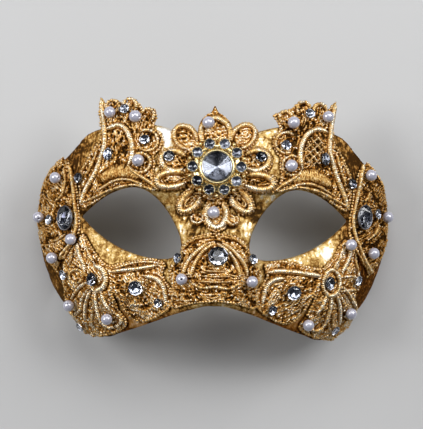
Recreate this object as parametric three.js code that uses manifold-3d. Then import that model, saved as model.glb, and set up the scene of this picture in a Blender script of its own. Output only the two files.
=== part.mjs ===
// A half mask for the eyes: a papier mache shell under gold leaf, dressed with pieces of heavy
// gilded corded lace, with pearls and crystals glued on and a round brooch on the forehead.
// It lies face up on the back rim of its two sides. Millimetres: +X runs across the face,
// +Y up to the forehead and +Z out of the face. The origin is on the table, under the middle.
import * as THREE from 'three';
import { mergeVertices } from 'three/addons/utils/BufferGeometryUtils.js';
import Module from 'manifold-3d';

const wasm = await Module();
wasm.setup();

// The shell's curve. Across, it is a rounded arch; up and down, it leans back from its crest.
const HALF_WIDTH = 88; // at the temples, where the mask is widest
const WIDEST_Y = -2;
const TAPER_DOWN = 0.0075; // how fast it narrows towards the cheeks, per mm squared
const TAPER_UP = 0.004;
const DEPTH = 56; // from the side rims to the face, before the nose
const CREST_Y = 5;
const LEAN_UP = 0.004;
const LEAN_DOWN = 0.002;
const ARCH_POWER = 2.2;
const WALL = 2.4;

// The features that stand out of the arch or sink into it, as height, place and spread.
const NOSE = { height: 18, starts: 16, run: 54, spread: 15, widens: 5 };
const BROW = { height: 3, x: 38, wide: 22, y: 22, tall: 9 };
const BRIDGE = { height: -4, x: 0, wide: 16, y: 6, tall: 9 };
const SOCKET = { height: -5, x: 42, wide: 24, y: -1, tall: 13 };
const CHEEK = { height: 3.5, x: 50, wide: 18, y: -34, tall: 14 };

// Layers over the shell, measured square to it.
const GAP = 0.3; // between glued pieces
const LACE_TOP = 1.7; // the lace's net ground
const CORD_TOP = 3.1; // the raised satin cords
const SEAT = LACE_TOP + GAP; // where pearls and crystals sit
const LACE_HEM = 9; // no lace reaches further back than this above the table

// How finely the curved layers are cut into facets.
const ACROSS = 22;
const UP = 12;
const CROWDING = 0.35; // how far the facets draw together at the nose and at the rims
const REACH = 63; // the layers run this far up and down, past every outline
const SKIRT = 12; // and this far below the table

const PEARL = 5.6; // diameters
const FLOWER_PEARL = 6;
const BROOCH_SEAT = 2.6; // the brooch's back above the shell
const STONE = 14.8; // diameter of the brooch's large stone
const RING_STONES = 10;
const RING_RADIUS = 12.3; // to the centres of the small stones

const smooth = (t) => THREE.MathUtils.smoothstep(t, 0, 1);
const bump = (d, spread) => Math.exp(-((d / spread) ** 2));
const halfWidth = (y) => HALF_WIDTH - (y < WIDEST_Y ? TAPER_DOWN : TAPER_UP) * (y - WIDEST_Y) ** 2;
const depth = (y) => DEPTH - (y < CREST_Y ? LEAN_DOWN : LEAN_UP) * (y - CREST_Y) ** 2;

function relief(x, y) {
  const side = Math.abs(x);
  const fall = smooth((NOSE.starts - y) / NOSE.run);
  const ridge = side / (NOSE.spread + NOSE.widens * fall);
  let z = NOSE.height * fall * Math.exp(-(ridge ** 3));
  for (const f of [BROW, BRIDGE, SOCKET, CHEEK]) {
    z += f.height * bump(side - f.x, f.wide) * bump(y - f.y, f.tall);
  }
  return z;
}

// A point of the shell's face. turn runs from -1 at the left rim to 1 at the right one.
function facePoint(turn, y) {
  const angle = (turn * Math.PI) / 2;
  const share = Math.abs(Math.sin(angle));
  const x = Math.sign(turn) * halfWidth(y) * share;
  const height = Math.max(0, 1 - share ** ARCH_POWER) ** (1 / ARCH_POWER);
  return new THREE.Vector3(x, y, depth(y) * height * Math.sign(Math.cos(angle) + 1e-9) + relief(x, y));
}

function faceNormal(turn, y) {
  const step = 1e-3;
  const across = facePoint(turn + step, y).sub(facePoint(turn - step, y));
  const up = facePoint(turn, y + 0.1).sub(facePoint(turn, y - 0.1));
  return across.cross(up).normalize();
}

// Solids for joining and cutting, and back to geometry.
function solid(geometry) {
  const bare = geometry.index ? geometry.toNonIndexed() : geometry.clone();
  bare.deleteAttribute('normal');
  bare.deleteAttribute('uv');
  const merged = mergeVertices(bare, 1e-4);
  const order = merged.index.array;
  const kept = [];
  for (let i = 0; i < order.length; i += 3) {
    const [a, b, c] = order.slice(i, i + 3);
    if (a !== b && b !== c && c !== a) kept.push(a, b, c);
  }
  return new wasm.Manifold(new wasm.Mesh({
    numProp: 3,
    vertProperties: new Float32Array(merged.attributes.position.array),
    triVerts: new Uint32Array(kept),
  }));
}

function geometryOf(manifold) {
  const { vertProperties, triVerts } = manifold.getMesh();
  const geometry = new THREE.BufferGeometry();
  geometry.setAttribute('position', new THREE.BufferAttribute(new Float32Array(vertProperties), 3));
  geometry.setIndex(new THREE.BufferAttribute(new Uint32Array(triVerts), 1));
  geometry.computeVertexNormals();
  return geometry;
}

const join = (solids) => solids.reduce((whole, part) => whole.add(part));

// Everything below a surface that lies lift above the shell's face.
function under(lift) {
  const block = new THREE.BoxGeometry(2, 2, 2, ACROSS, UP, 1);
  const corner = block.attributes.position;
  for (let i = 0; i < corner.count; i++) {
    const even = 2 * Math.PI * corner.getX(i);
    const turn = (even - CROWDING * Math.sin(even)) / (2 * Math.PI);
    const y = corner.getY(i) * REACH;
    const top = facePoint(turn, y).addScaledVector(faceNormal(turn, y), lift);
    corner.setXYZ(i, top.x, top.y, corner.getZ(i) > 0 ? top.z : lift - SKIRT);
  }
  return solid(block);
}

// Outlines are drawn in the plane of the face and cut straight through it.
const PRISM = { depth: 140, bevelEnabled: false, curveSegments: 4 };
const PRISM_START = -30;

const prism = (shape) => solid(new THREE.ExtrudeGeometry(shape, PRISM).translate(0, 0, PRISM_START));
const above = (z) => solid(new THREE.BoxGeometry(400, 400, 200).translate(0, 0, z + 100));
const corners = (points) => points.map(([x, y]) => new THREE.Vector2(x, y));
const sided = (side, points) => points.map(([x, y]) => [side * x, y]);

// A cord of one width through the points.
function cord(width, points) {
  const curve = new THREE.SplineCurve(corners(points));
  const steps = points.length - 1;
  const near = [];
  const far = [];
  for (let i = 0; i <= steps; i++) {
    const p = curve.getPoint(i / steps);
    const along = curve.getTangent(i / steps);
    const aside = new THREE.Vector2(-along.y, along.x).multiplyScalar(width / 2);
    near.push(p.clone().add(aside));
    far.unshift(p.clone().sub(aside));
  }
  return prism(new THREE.Shape([...near, ...far]));
}

// An oval pad, drawn in by inset all round, and a ring of cord along its edge.
function pad({ x, y, long, wide, turn = 0 }, inset = 0, sides = 8) {
  const angle = THREE.MathUtils.degToRad(turn);
  const oval = new THREE.EllipseCurve(x, y, long - inset, wide - inset, 0, 2 * Math.PI, false, angle);
  return prism(new THREE.Shape(oval.getPoints(sides)));
}

const rim = (oval, width, sides = 6) => pad(oval, 0, sides).subtract(pad(oval, width, sides));

const SUNK = 1; // the cords start this far above the shell, inside the net
const face = under(0);
const netLayer = under(LACE_TOP).subtract(under(GAP));
const cordLayer = under(CORD_TOP).subtract(under(SUNK));
const hem = above(LACE_HEM);

const cutOut = (side, edge) => prism(new THREE.Shape(corners(sided(side, edge))));

// One piece of lace: its net ground with the cords raised on it, cut to its outline.
function lace(outline, cords) {
  const raised = join(cords).intersect(cordLayer);
  return netLayer.add(raised).intersect(outline).intersect(hem);
}

// The shell's outline and eye opening, on the right; the left mirrors them.
const SHELL_EDGE = [
  [17, 44], [30, 47], [44, 47.6], [57, 45], [64, 42], [70.5, 34.8], [78.5, 25.5], [83.5, 15], [90, 5],
  [90, -28], [80.5, -34.5], [76.5, -40], [73.5, -44], [69, -50], [63.5, -55], [58, -58.2], [52, -58.6],
  [46, -56.2], [39, -53.6], [29, -49.6], [19, -45.2], [6.5, -41.4],
];

function shellOutline() {
  const left = sided(-1, SHELL_EDGE).reverse();
  return new THREE.Shape(corners([[0, 43.6], ...SHELL_EDGE, [0, -41], ...left]));
}

function eyeOutline(s) {
  const eye = new THREE.Shape();
  eye.moveTo(s * 65.8, 1.3);
  eye.bezierCurveTo(s * 59.5, 8, s * 50, 15.6, s * 39.5, 15.6);
  eye.bezierCurveTo(s * 30, 15.6, s * 18.5, 0, s * 17.3, -10);
  eye.bezierCurveTo(s * 17, -13, s * 17.5, -15.5, s * 19, -16.3);
  eye.bezierCurveTo(s * 20.5, -17.5, s * 23, -18.6, s * 26, -18.6);
  eye.bezierCurveTo(s * 40, -18.6, s * 57, -9.5, s * 65.8, 1.3);
  return eye;
}

function makeShell() {
  const whole = face.subtract(under(-WALL)).intersect(prism(shellOutline())).intersect(above(0));
  return whole.subtract(prism(eyeOutline(-1))).subtract(prism(eyeOutline(1)));
}

// The flower's petals, from the top one on the left round to the top one on the right.
const PETALS = [
  { x: -15.2, y: 40.2, long: 7.4, wide: 6, turn: -48 },
  { x: -20.6, y: 28.7, long: 7.8, wide: 6.4, turn: -8 },
  { x: -21.6, y: 20.1, long: 9, wide: 4.9, turn: 6 },
  { x: -12.6, y: 9.8, long: 7.8, wide: 5, turn: 50 },
  { x: 0.2, y: 3.2, long: 8.6, wide: 6.2, turn: 90 },
  { x: 12.2, y: 10.2, long: 7.8, wide: 5, turn: -52 },
  { x: 20.4, y: 19.6, long: 9, wide: 4.9, turn: -5 },
  { x: 19.2, y: 29.6, long: 7.8, wide: 6.4, turn: 8 },
  { x: 12.8, y: 41.2, long: 7.6, wide: 6, turn: 46 },
];
const TOP_PETAL = [[-1, 56], [-6, 52], [-8.6, 47], [-6.5, 38], [5.4, 38], [7.2, 47], [4.4, 52]];
const TOP_HOLLOW = [[-0.9, 52], [-4.4, 49], [-6.2, 45.6], [-4.7, 40], [3.6, 40], [4.8, 45.6], [2.9, 49]];
const FLOWER_DISC = { x: 0.2, y: 25.5, long: 16.5, wide: 16.5 };
const FLOWER_REACH = { x: 0.2, y: 25.5, long: 40, wide: 40 };
const PETAL_CORD = 2;

function makeFlower() {
  const crown = prism(new THREE.Shape(corners(TOP_PETAL)));
  const hollow = prism(new THREE.Shape(corners(TOP_HOLLOW)));
  const outline = join([pad(FLOWER_DISC), crown, ...PETALS.map((petal) => pad(petal))]);
  const hollows = join([hollow, ...PETALS.map((petal) => pad(petal, PETAL_CORD, 6))]);
  return lace(outline, [pad(FLOWER_REACH).subtract(hollows)]);
}

// The lace over a brow: a horn with a scalloped edge, and a band that follows the eye.
const BROW_EDGE = [
  [59.4, 60.4], [55.4, 56.4], [50.5, 59.4], [46.6, 57.4], [41.6, 59.8], [37.2, 56], [32, 54], [29.8, 49],
  [32, 45.4], [28.2, 41], [28.6, 36], [31.4, 31.4], [31.2, 25], [31.2, 19], [27.6, 14.6], [39.5, 17.6],
  [50, 15], [58, 10], [64.6, 6.4], [67, 16], [67.2, 23], [61.6, 34], [57.2, 40],
];
const BROW_CORDS = [
  [2, [[58, 59.4], [55.5, 45], [55.5, 35], [60, 22], [64.6, 9]]],
  [1.3, [[58.8, 35], [64, 20.5]]],
  [2.2, [[54.6, 45], [48, 46.4], [43, 42.6], [41, 34], [42, 26.5], [37.6, 21.4], [32.2, 18]]],
  [1.6, [[60, 14], [51.5, 19], [44, 21.6], [37.4, 18.8]]],
];
const BROW_RING_CORD = 1.4;
const BROW_RINGS = [
  { x: 50.5, y: 55.6, long: 3.5, wide: 3.5 },
  { x: 41.8, y: 56, long: 3.6, wide: 3.6 },
  { x: 34.2, y: 38.6, long: 5.8, wide: 5.8 },
  { x: 36.8, y: 27.2, long: 5.2, wide: 5 },
];

function makeBrow(side) {
  const rings = BROW_RINGS.map((ring) => rim({ ...ring, x: side * ring.x }, BROW_RING_CORD));
  const cords = BROW_CORDS.map(([width, points]) => cord(width, sided(side, points)));
  return lace(cutOut(side, BROW_EDGE), [...cords, ...rings]);
}

// The leaf of lace on a temple. It wraps round the side, where its back edge is an arc.
const TEMPLE_EDGE = [
  [72.6, 27.6], [69, 17.5], [67.6, 9], [66.8, 0], [67.6, -9.4], [74.2, -18.4], [78.4, -25], [98, -16],
  [98, 14], [84, 23],
];
const TEMPLE_CORDS = [
  [2, [[71.8, 25], [69.4, 13], [67.8, 0], [69, -8]]],
  [1.4, [[69.2, -9.4], [74, -14.4], [78.6, -22.6]]],
];
const TEMPLE_BACK = [[30, 27], [18, 14], [2, 10], [-12, 13], [-26, 25]]; // as y and z, seen from the side
const TEMPLE_RIM = 2.2;
const OVER = { low: -30, high: 34, z: 90 }; // the cut runs out past the mask here

// Everything in front of the leaf's back edge, lifted by lift. It is cut from side to side.
function inFront(lift) {
  const line = new THREE.SplineCurve(corners(TEMPLE_BACK));
  const edge = line.getPoints(8).map((p) => new THREE.Vector2(p.x, p.y + lift));
  const shape = new THREE.Shape([...edge, ...corners([[OVER.low, OVER.z], [OVER.high, OVER.z]])]);
  const cut = new THREE.ExtrudeGeometry(shape, { depth: 240, bevelEnabled: false }).translate(0, 0, -120);
  return solid(cut.rotateY(Math.PI / 2).rotateX(Math.PI / 2));
}

function makeTemple(side) {
  const back = inFront(-TEMPLE_RIM).subtract(inFront(TEMPLE_RIM));
  const cords = TEMPLE_CORDS.map(([width, points]) => cord(width, sided(side, points)));
  return lace(cutOut(side, TEMPLE_EDGE).intersect(inFront(0)), [back, ...cords]);
}

// The fan on a cheek, with the leaf that runs from it to the nose.
const CHEEK_EDGE = [
  [64.8, -7.6], [70.4, -14.6], [74.6, -22], [76.6, -30], [74, -41], [69.6, -49.4], [65, -55.2],
  [58, -57.4], [47, -54.4], [41.6, -49.6], [49, -42], [50.4, -37], [42, -45], [37.4, -48.6], [28.4, -46.4],
  [21.2, -41], [21, -33], [26, -26], [24.6, -21.4], [33, -19.2], [48.6, -22.4], [55, -20.8], [61.6, -12],
];
const CHEEK_CORDS = [
  [2.2, [[67.6, -13], [63, -24]]],
  [1.6, [[63.6, -11], [58.6, -22]]],
  [2.5, [[58, -22.8], [54, -26], [53.4, -31], [58, -34.8]]],
  [1.7, [[61.4, -31], [66, -33.4], [71, -42], [69, -47.4], [65.2, -44], [61.4, -35]]],
  [1.6, [[60, -35], [62.4, -49]]],
  [1.6, [[57.4, -36], [55.4, -49.2]]],
  [1.4, [[54.8, -35.4], [50.6, -44]]],
  [1.6, [[56, -49], [51.4, -52.8], [45.6, -51], [46, -46.6]]],
  [2, [[49.7, -25.4], [28.4, -22.2]]],
  [2.4, [[31.7, -27], [24.8, -30], [22.6, -39.2]]],
];
const CHEEK_RING = { x: 67.4, y: -28, long: 3.6, wide: 3.6 };
const CHEEK_RING_CORD = 1.4;

function makeCheek(side) {
  const cords = CHEEK_CORDS.map(([width, points]) => cord(width, sided(side, points)));
  const ring = rim({ ...CHEEK_RING, x: side * CHEEK_RING.x }, CHEEK_RING_CORD);
  return lace(cutOut(side, CHEEK_EDGE), [...cords, ring]);
}

// The lace over the nose, with two pointed arches round its crystal and bars below it.
const NOSE_TOP = [0, -6.6];
const NOSE_FOOT = [0, -38];
const NOSE_EDGE = [[9, -7.8], [15.2, -12.6], [15.8, -17], [21, -24], [19.8, -31], [19.2, -41.6], [8, -38.8]];
const NOSE_CORDS = [
  [1.7, [[14.6, -26.4], [12.6, -19], [7.4, -13.4], [3.4, -10.4]]],
  [1.7, [[11.4, -26.4], [9.2, -19], [4.6, -13.6], [1.2, -11.4]]],
];
const NOSE_BARS = [[5, -24.2], [6.4, -28], [9.6, -32]]; // half length and height of each
const NOSE_BAR_CORD = 1.4;

function makeNose() {
  const edge = [NOSE_TOP, ...NOSE_EDGE, NOSE_FOOT, ...sided(-1, NOSE_EDGE).reverse()];
  const cords = NOSE_BARS.map(([half, y]) => cord(NOSE_BAR_CORD, [[-half, y], [half, y]]));
  for (const [width, points] of NOSE_CORDS) {
    cords.push(cord(width, points), cord(width, sided(-1, points)));
  }
  return lace(cutOut(1, edge), cords);
}

// Pearls and crystals stand square to the shell over a place on its face.
function seat(x, y, lift) {
  const turn = (Math.asin(x / halfWidth(y)) * 2) / Math.PI;
  const out = faceNormal(turn, y);
  const across = new THREE.Vector3(1, 0, 0).addScaledVector(out, -out.x).normalize();
  const up = out.clone().cross(across);
  const frame = new THREE.Matrix4().makeBasis(across, up, out);
  return frame.setPosition(facePoint(turn, y).addScaledVector(out, lift));
}

// Name, diameter, and place on the left and on the right, as x from the middle and y.
const PEARL_PAIRS = [
  ['horn_outer', PEARL, [50.5, 51], [53, 51]],
  ['horn_inner', 6, [38.5, 49], [36.5, 47.5]],
  ['brow', 6, [37, 27], [35.5, 26]],
  ['temple_top', PEARL, [75.5, 19.5], [74, 23.5]],
  ['edge', PEARL, [83.4, 0.5], [83, 3.5]],
  ['eye_corner', PEARL, [68, -10], [65, -10.5]],
  ['temple_low', PEARL, [76.5, -18.5], [76, -14]],
  ['cheek_side', PEARL, [68, -41], [65.5, -42.5]],
  ['cheek_low', PEARL, [50, -46.5], [45, -48]],
  ['nose', PEARL, [13, -28.5], [14.5, -29]],
];
const CRYSTAL_PAIRS = [
  ['horn', [5.4, 5.4], [44.5, 53.5], [45, 53]],
  ['brow_round', [5.4, 5.4], [34.5, 38.5], [33.5, 37]],
  ['brow_oval', [5, 7], [52, 31], [52.5, 30.5]],
  ['temple_top', [5.4, 5.4], [66, 20], [66, 19.5]],
  ['temple_small', [5.2, 5.4], [80, -0.5], [79.4, 5]],
  ['temple_big', [9.4, 12.4], [72, 0.5], [72.5, 3.5]],
  ['cheek_side', [5.4, 5.4], [72.5, -27], [70, -27.5]],
  ['fan', [6, 7], [58.5, -29], [55.5, -29]],
  ['leaf', [7.4, 7.4], [38, -32.5], [38.5, -33.5]],
  ['leaf_small', [5, 5], [26, -39.5], [27.5, -42]],
  ['cheek_low', [5.4, 5.4], [64, -52.5], [59.5, -52]],
  ['petal', [5.6, 5.6], [23, 30.5], [21.5, 31]],
  ['nose_side', [5.4, 5.4], [16.5, -18.5], [16.5, -18.5]],
];
const NOSE_CRYSTAL = ['crystal_nose', [10, 10], [1, -18]];
const FLOWER_PEARLS = [['pearl_flower_top', [-4, 46.5]], ['pearl_flower_bottom', [-1, 1.5]]];
const BROOCH_PLACE = [0.2, 25.5];

const PEARL_LOOK = { color: 0xe9e4ec, roughness: 0.25, metalness: 0 };
const CRYSTAL_LOOK = { color: 0x9fb0c6, roughness: 0.05, metalness: 0 };
const LACE_LOOK = { color: 0xb98a35, roughness: 0.45, metalness: 0.7 };
const LEAF_LOOK = { color: 0xc79a3c, roughness: 0.35, metalness: 0.8 };
const BRASS_LOOK = { color: 0xd8b04a, roughness: 0.2, metalness: 1 };

const pearlGeometry = (diameter) => new THREE.SphereGeometry(diameter / 2, 7, 4).rotateX(Math.PI / 2);

// A cut stone: a table, a crown that slopes to the girdle, and a short foot.
function crystalGeometry([wide, tall], sides = wide > 6 ? 8 : 6) {
  const high = 0.3 * wide + 1.2;
  const profile = [[0, 0], [0.42, 0], [0.5, 0.45 * high], [0.3, high], [0, high]];
  return new THREE.LatheGeometry(corners(profile), sides).rotateX(Math.PI / 2).scale(wide, tall, 1);
}

// Radii and heights of the brooch's back plate, its cups and the bezel of the large stone.
const BROOCH = {
  back: 1.2,
  backRadius: 12.4,
  cup: 3.1,
  cupTop: 1.9,
  cupHeight: 4.2,
  bezel: 8.3,
  bezelHeight: 4.6,
  floor: 1.8, // the bottom of the bezel's bore
};

function cylinder(radius, from, to, sides) {
  const drum = new THREE.CylinderGeometry(radius, radius, to - from, sides);
  return solid(drum.rotateX(Math.PI / 2).translate(0, 0, (from + to) / 2));
}

// The setting: a back plate, a bezel bored for the large stone, and ten cups with their stones.
function broochSetting() {
  const bezel = cylinder(BROOCH.bezel, 0, BROOCH.bezelHeight, 14);
  let setting = cylinder(BROOCH.backRadius, 0, BROOCH.back, 10).add(bezel);
  setting = setting.subtract(cylinder(STONE / 2 + GAP, BROOCH.floor, 20, 14));
  for (let i = 0; i < RING_STONES; i++) {
    const angle = (i * 2 * Math.PI) / RING_STONES;
    const [x, y] = [RING_RADIUS * Math.cos(angle), RING_RADIUS * Math.sin(angle)];
    const cup = new THREE.CylinderGeometry(BROOCH.cupTop, BROOCH.cup, BROOCH.cupHeight, 6);
    cup.rotateX(Math.PI / 2).rotateZ(angle).translate(x, y, BROOCH.cupHeight / 2);
    setting = setting.add(solid(cup));
  }
  return setting;
}

// The large stone comes to a low point in its middle.
function broochStone() {
  const profile = [[0, 0], [STONE / 2 - 1, 0], [STONE / 2, 1.2], [STONE / 2, 3], [0, 6.4]];
  return new THREE.LatheGeometry(corners(profile), 10).rotateX(Math.PI / 2);
}

const mask = new THREE.Group();
const clearances = []; // what the lace has to leave room for

function place(name, geometry, look, matrix) {
  const mesh = new THREE.Mesh(geometry, new THREE.MeshStandardMaterial(look));
  mesh.name = name;
  if (matrix) mesh.applyMatrix4(matrix);
  mask.add(mesh);
}

function addPearl(name, diameter, [x, y]) {
  const at = seat(x, y, SEAT + diameter / 2);
  place(name, pearlGeometry(diameter), PEARL_LOOK, at);
  const room = cylinder(diameter / 2 + GAP, -diameter / 2 - GAP / 3, diameter, 6);
  clearances.push(room.transform(at.elements));
}

function addCrystal(name, size, [x, y]) {
  const at = seat(x, y, SEAT);
  place(name, crystalGeometry(size), CRYSTAL_LOOK, at);
  const drum = new THREE.CylinderGeometry(0.5, 0.5, 8, 6).rotateX(Math.PI / 2).rotateZ(Math.PI / 6);
  const room = drum.scale(size[0] + 3 * GAP, size[1] + 3 * GAP, 1).translate(0, 0, 4 - GAP / 3);
  clearances.push(solid(room).transform(at.elements));
}

for (const [name, diameter, left, right] of PEARL_PAIRS) {
  addPearl(`pearl_${name}_left`, diameter, [-left[0], left[1]]);
  addPearl(`pearl_${name}_right`, diameter, right);
}
for (const [name, spot] of FLOWER_PEARLS) addPearl(name, FLOWER_PEARL, spot);
for (const [name, size, left, right] of CRYSTAL_PAIRS) {
  addCrystal(`crystal_${name}_left`, size, [-left[0], left[1]]);
  addCrystal(`crystal_${name}_right`, size, right);
}
addCrystal(...NOSE_CRYSTAL);

const broochAt = seat(...BROOCH_PLACE, BROOCH_SEAT);
place('brooch', geometryOf(broochSetting()), BRASS_LOOK, broochAt);
place('brooch_stone', broochStone().translate(0, 0, BROOCH.floor + GAP), CRYSTAL_LOOK, broochAt);
clearances.push(cylinder(RING_RADIUS + BROOCH.cup + 2 * GAP, -GAP, 8, 14).transform(broochAt.elements));

place('shell', geometryOf(makeShell()), LEAF_LOOK);
const laces = {
  lace_flower: makeFlower(),
  lace_brow_left: makeBrow(-1),
  lace_brow_right: makeBrow(1),
  lace_temple_left: makeTemple(-1),
  lace_temple_right: makeTemple(1),
  lace_cheek_left: makeCheek(-1),
  lace_cheek_right: makeCheek(1),
  lace_nose: makeNose(),
};
for (const [name, whole] of Object.entries(laces)) {
  let piece = whole;
  for (const room of clearances) {
    if (!piece.intersect(room).isEmpty()) piece = piece.subtract(room);
  }
  place(name, geometryOf(piece), LACE_LOOK);
}

// The drawing's middle lies on the face; the finished mask is centred over the origin.
const middle = new THREE.Box3().setFromObject(mask, true).getCenter(new THREE.Vector3());
for (const piece of mask.children) piece.position.sub(middle.setZ(0));

export default mask;
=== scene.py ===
# %% [markdown]
# # A half mask dressed with gilded lace
# The real mask is a thin papier mache shell under gold leaf. Pieces of heavy corded lace are glued
# over it and gilded too, and pearls, cut crystals and a round brooch are glued on top.
# The measured model holds every piece in its true place. Here each piece gets its fine surface.

# %% Load the measured model
import math
import bpy
import numpy as np
from mathutils import Matrix, Vector


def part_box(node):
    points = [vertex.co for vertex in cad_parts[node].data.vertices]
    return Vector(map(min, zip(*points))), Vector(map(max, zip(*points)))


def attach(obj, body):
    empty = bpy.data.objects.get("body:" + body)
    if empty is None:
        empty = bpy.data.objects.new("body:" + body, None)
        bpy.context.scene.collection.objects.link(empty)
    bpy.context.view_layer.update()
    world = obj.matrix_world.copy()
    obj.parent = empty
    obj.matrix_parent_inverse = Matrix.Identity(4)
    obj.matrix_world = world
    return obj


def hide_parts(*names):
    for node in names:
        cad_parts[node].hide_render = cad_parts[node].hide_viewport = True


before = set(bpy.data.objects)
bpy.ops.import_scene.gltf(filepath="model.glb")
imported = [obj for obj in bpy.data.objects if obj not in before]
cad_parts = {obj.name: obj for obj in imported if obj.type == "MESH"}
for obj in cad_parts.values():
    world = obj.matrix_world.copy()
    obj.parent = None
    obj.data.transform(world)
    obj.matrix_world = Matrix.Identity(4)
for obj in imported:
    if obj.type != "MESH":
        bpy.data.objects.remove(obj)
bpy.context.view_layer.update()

MM = 0.001
scene = bpy.context.scene
print("pieces in the measured model:", len(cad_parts))

# %% [markdown]
# ## The curve of the face
# Everything lies on one curved surface: a rounded arch from temple to temple, with a nose, brows,
# eye sockets and cheeks that stand out of it. It could be sculpted by hand, but the measured model
# is made from a few numbers, so the same numbers give the same surface here, as finely as needed.

# %% The face in millimetres, from the drawing's own middle
HALF_WIDTH, WIDEST_Y = 88.0, -2.0
TAPER_DOWN, TAPER_UP = 0.0075, 0.004
DEPTH, CREST_Y = 56.0, 5.0
LEAN_DOWN, LEAN_UP = 0.002, 0.004
ARCH_POWER = 2.2
WALL = 2.4
NOSE = dict(height=18, starts=16, run=54, spread=15, widens=5)
FEATURES = dict(  # height, x, spread across, y, spread up
    brow=(3, 38, 22, 22, 9), bridge=(-4, 0, 16, 6, 9), socket=(-5, 42, 24, -1, 13),
    cheek=(3.5, 50, 18, -34, 14))


def smooth(t):
    t = np.clip(t, 0, 1)
    return t * t * (3 - 2 * t)


def half_width(y):
    d = y - WIDEST_Y
    return HALF_WIDTH - np.where(d < 0, TAPER_DOWN, TAPER_UP) * d * d


def depth(y):
    d = y - CREST_Y
    return DEPTH - np.where(d < 0, LEAN_DOWN, LEAN_UP) * d * d


def relief(x, y):
    side = np.abs(x)
    fall = smooth((NOSE["starts"] - y) / NOSE["run"])
    ridge = side / (NOSE["spread"] + NOSE["widens"] * fall)
    z = NOSE["height"] * fall * np.exp(-(ridge ** 3))
    for height, at_x, wide, at_y, tall in FEATURES.values():
        z = z + height * np.exp(-((side - at_x) / wide) ** 2 - ((y - at_y) / tall) ** 2)
    return z


def face(turn, y):
    """Points of the face. turn runs from -1 at the left rim to 1 at the right one."""
    angle = turn * math.pi / 2
    share = np.abs(np.sin(angle))
    x = np.sign(turn) * half_width(y) * share
    arch = np.clip(1 - share ** ARCH_POWER, 0, 1) ** (1 / ARCH_POWER)
    z = depth(y) * arch * np.sign(np.cos(angle) + 1e-9) + relief(x, y)
    return np.stack([x, y + 0 * x, z], -1)


def normals(turn, y):
    across = face(turn + 1e-3, y) - face(turn - 1e-3, y)
    up = face(turn, y + 0.1) - face(turn, y - 0.1)
    n = np.cross(across, up)
    return n / np.linalg.norm(n, axis=-1, keepdims=True)


nose_tip = face(0.0, NOSE["starts"] - NOSE["run"])
print(f"the arch is {DEPTH:.0f} mm deep, and {nose_tip[2]:.0f} mm at the tip of the nose")

# %% [markdown]
# Lace bends round the temples, so its patterns are drawn on the face as if it were unrolled.
# u is the distance along the arch from the middle of the face, and y runs up it.

# %% Unroll the face
TURNS = np.linspace(-1, 1, 2001)
PLAIN_Y = 60.0  # up here the arch is free of nose and cheeks
arch_z = face(TURNS, np.full(len(TURNS), PLAIN_Y))[:, 2]
arch_line = np.stack([HALF_WIDTH * np.sin(TURNS * math.pi / 2), arch_z], -1)
ARC = np.concatenate([[0], np.cumsum(np.linalg.norm(np.diff(arch_line, axis=0), axis=1))])
ARC -= ARC[len(TURNS) // 2]


def turn_at(x, y):
    """The turn, from -1 to 1, of a place that is seen from the front at x, y."""
    return np.arcsin(np.clip(x / half_width(y), -1, 1)) * 2 / math.pi


def unrolled(x, y):
    return np.interp(turn_at(x, y), TURNS, ARC)


SHELL_EDGE = [
    (17, 44), (30, 47), (44, 47.6), (57, 45), (64, 42), (70.5, 34.8), (78.5, 25.5), (83.5, 15), (90, 5),
    (90, -28), (80.5, -34.5), (76.5, -40), (73.5, -44), (69, -50), (63.5, -55), (58, -58.2), (52, -58.6),
    (46, -56.2), (39, -53.6), (29, -49.6), (19, -45.2), (6.5, -41.4)]
low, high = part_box("shell")
drawn = [y for x, y in SHELL_EDGE]
drawn_middle = (max(drawn) + min(drawn)) / 2
SHIFT = np.array([(low.x + high.x) / 2 / MM, (low.y + high.y) / 2 / MM - drawn_middle, 0])


def on_face(u, y, lift):
    """Points lift millimetres off the face, in the model's metres."""
    turn = np.interp(u, ARC, TURNS)
    return (face(turn, y) + normals(turn, y) * np.asarray(lift)[..., None] + SHIFT) * MM


print(f"the arch is {ARC[-1] * 2:.0f} mm long; the drawing is moved by {SHIFT.round(2)} mm")

# %% [markdown]
# ## Tools for drawing lace
# A pattern is a set of curves on the unrolled face. Two questions make every relief: how far is this
# spot from the curve, and is it inside the outline? numpy answers both for a whole grid at once.

# %% Curves and distances


def spline(points, closed=False, gap=0.9):
    """A smooth curve through points, in steps of about gap millimetres."""
    p = np.array(points, float)
    count = len(p) if closed else len(p) - 1
    around = np.concatenate([p[-1:], p, p[:2]]) if closed else np.concatenate(
        [2 * p[:1] - p[1:2], p, 2 * p[-1:] - p[-2:-1]])
    pieces = []
    for i in range(count):
        a, b, c, d = around[i:i + 4]
        steps = max(1, int(np.ceil(np.linalg.norm(c - b) / gap)))
        t = (np.arange(steps) / steps)[:, None]
        pieces.append(0.5 * (2 * b + (c - a) * t + (2 * a - 5 * b + 4 * c - d) * t ** 2
                             + (3 * b - a - 3 * c + d) * t ** 3))
    if not closed:
        pieces.append(p[-1:])
    return np.concatenate(pieces)


FAR = 1e9


def from_segment(a, b, u, y):
    """Where each spot is nearest to a segment, as a share of its length, and how far off it is."""
    du, dy = b - a
    t = np.clip(((u - a[0]) * du + (y - a[1]) * dy) / (du * du + dy * dy + 1e-12), 0, 1)
    return t, np.hypot(u - a[0] - t * du, y - a[1] - t * dy)


def distance(path, u, y):
    """How far each spot is from a closed path."""
    best = np.full(u.shape, FAR)
    for a, b in zip(path, np.roll(path, -1, axis=0)):
        best = np.minimum(best, from_segment(a, b, u, y)[1])
    return best


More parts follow.
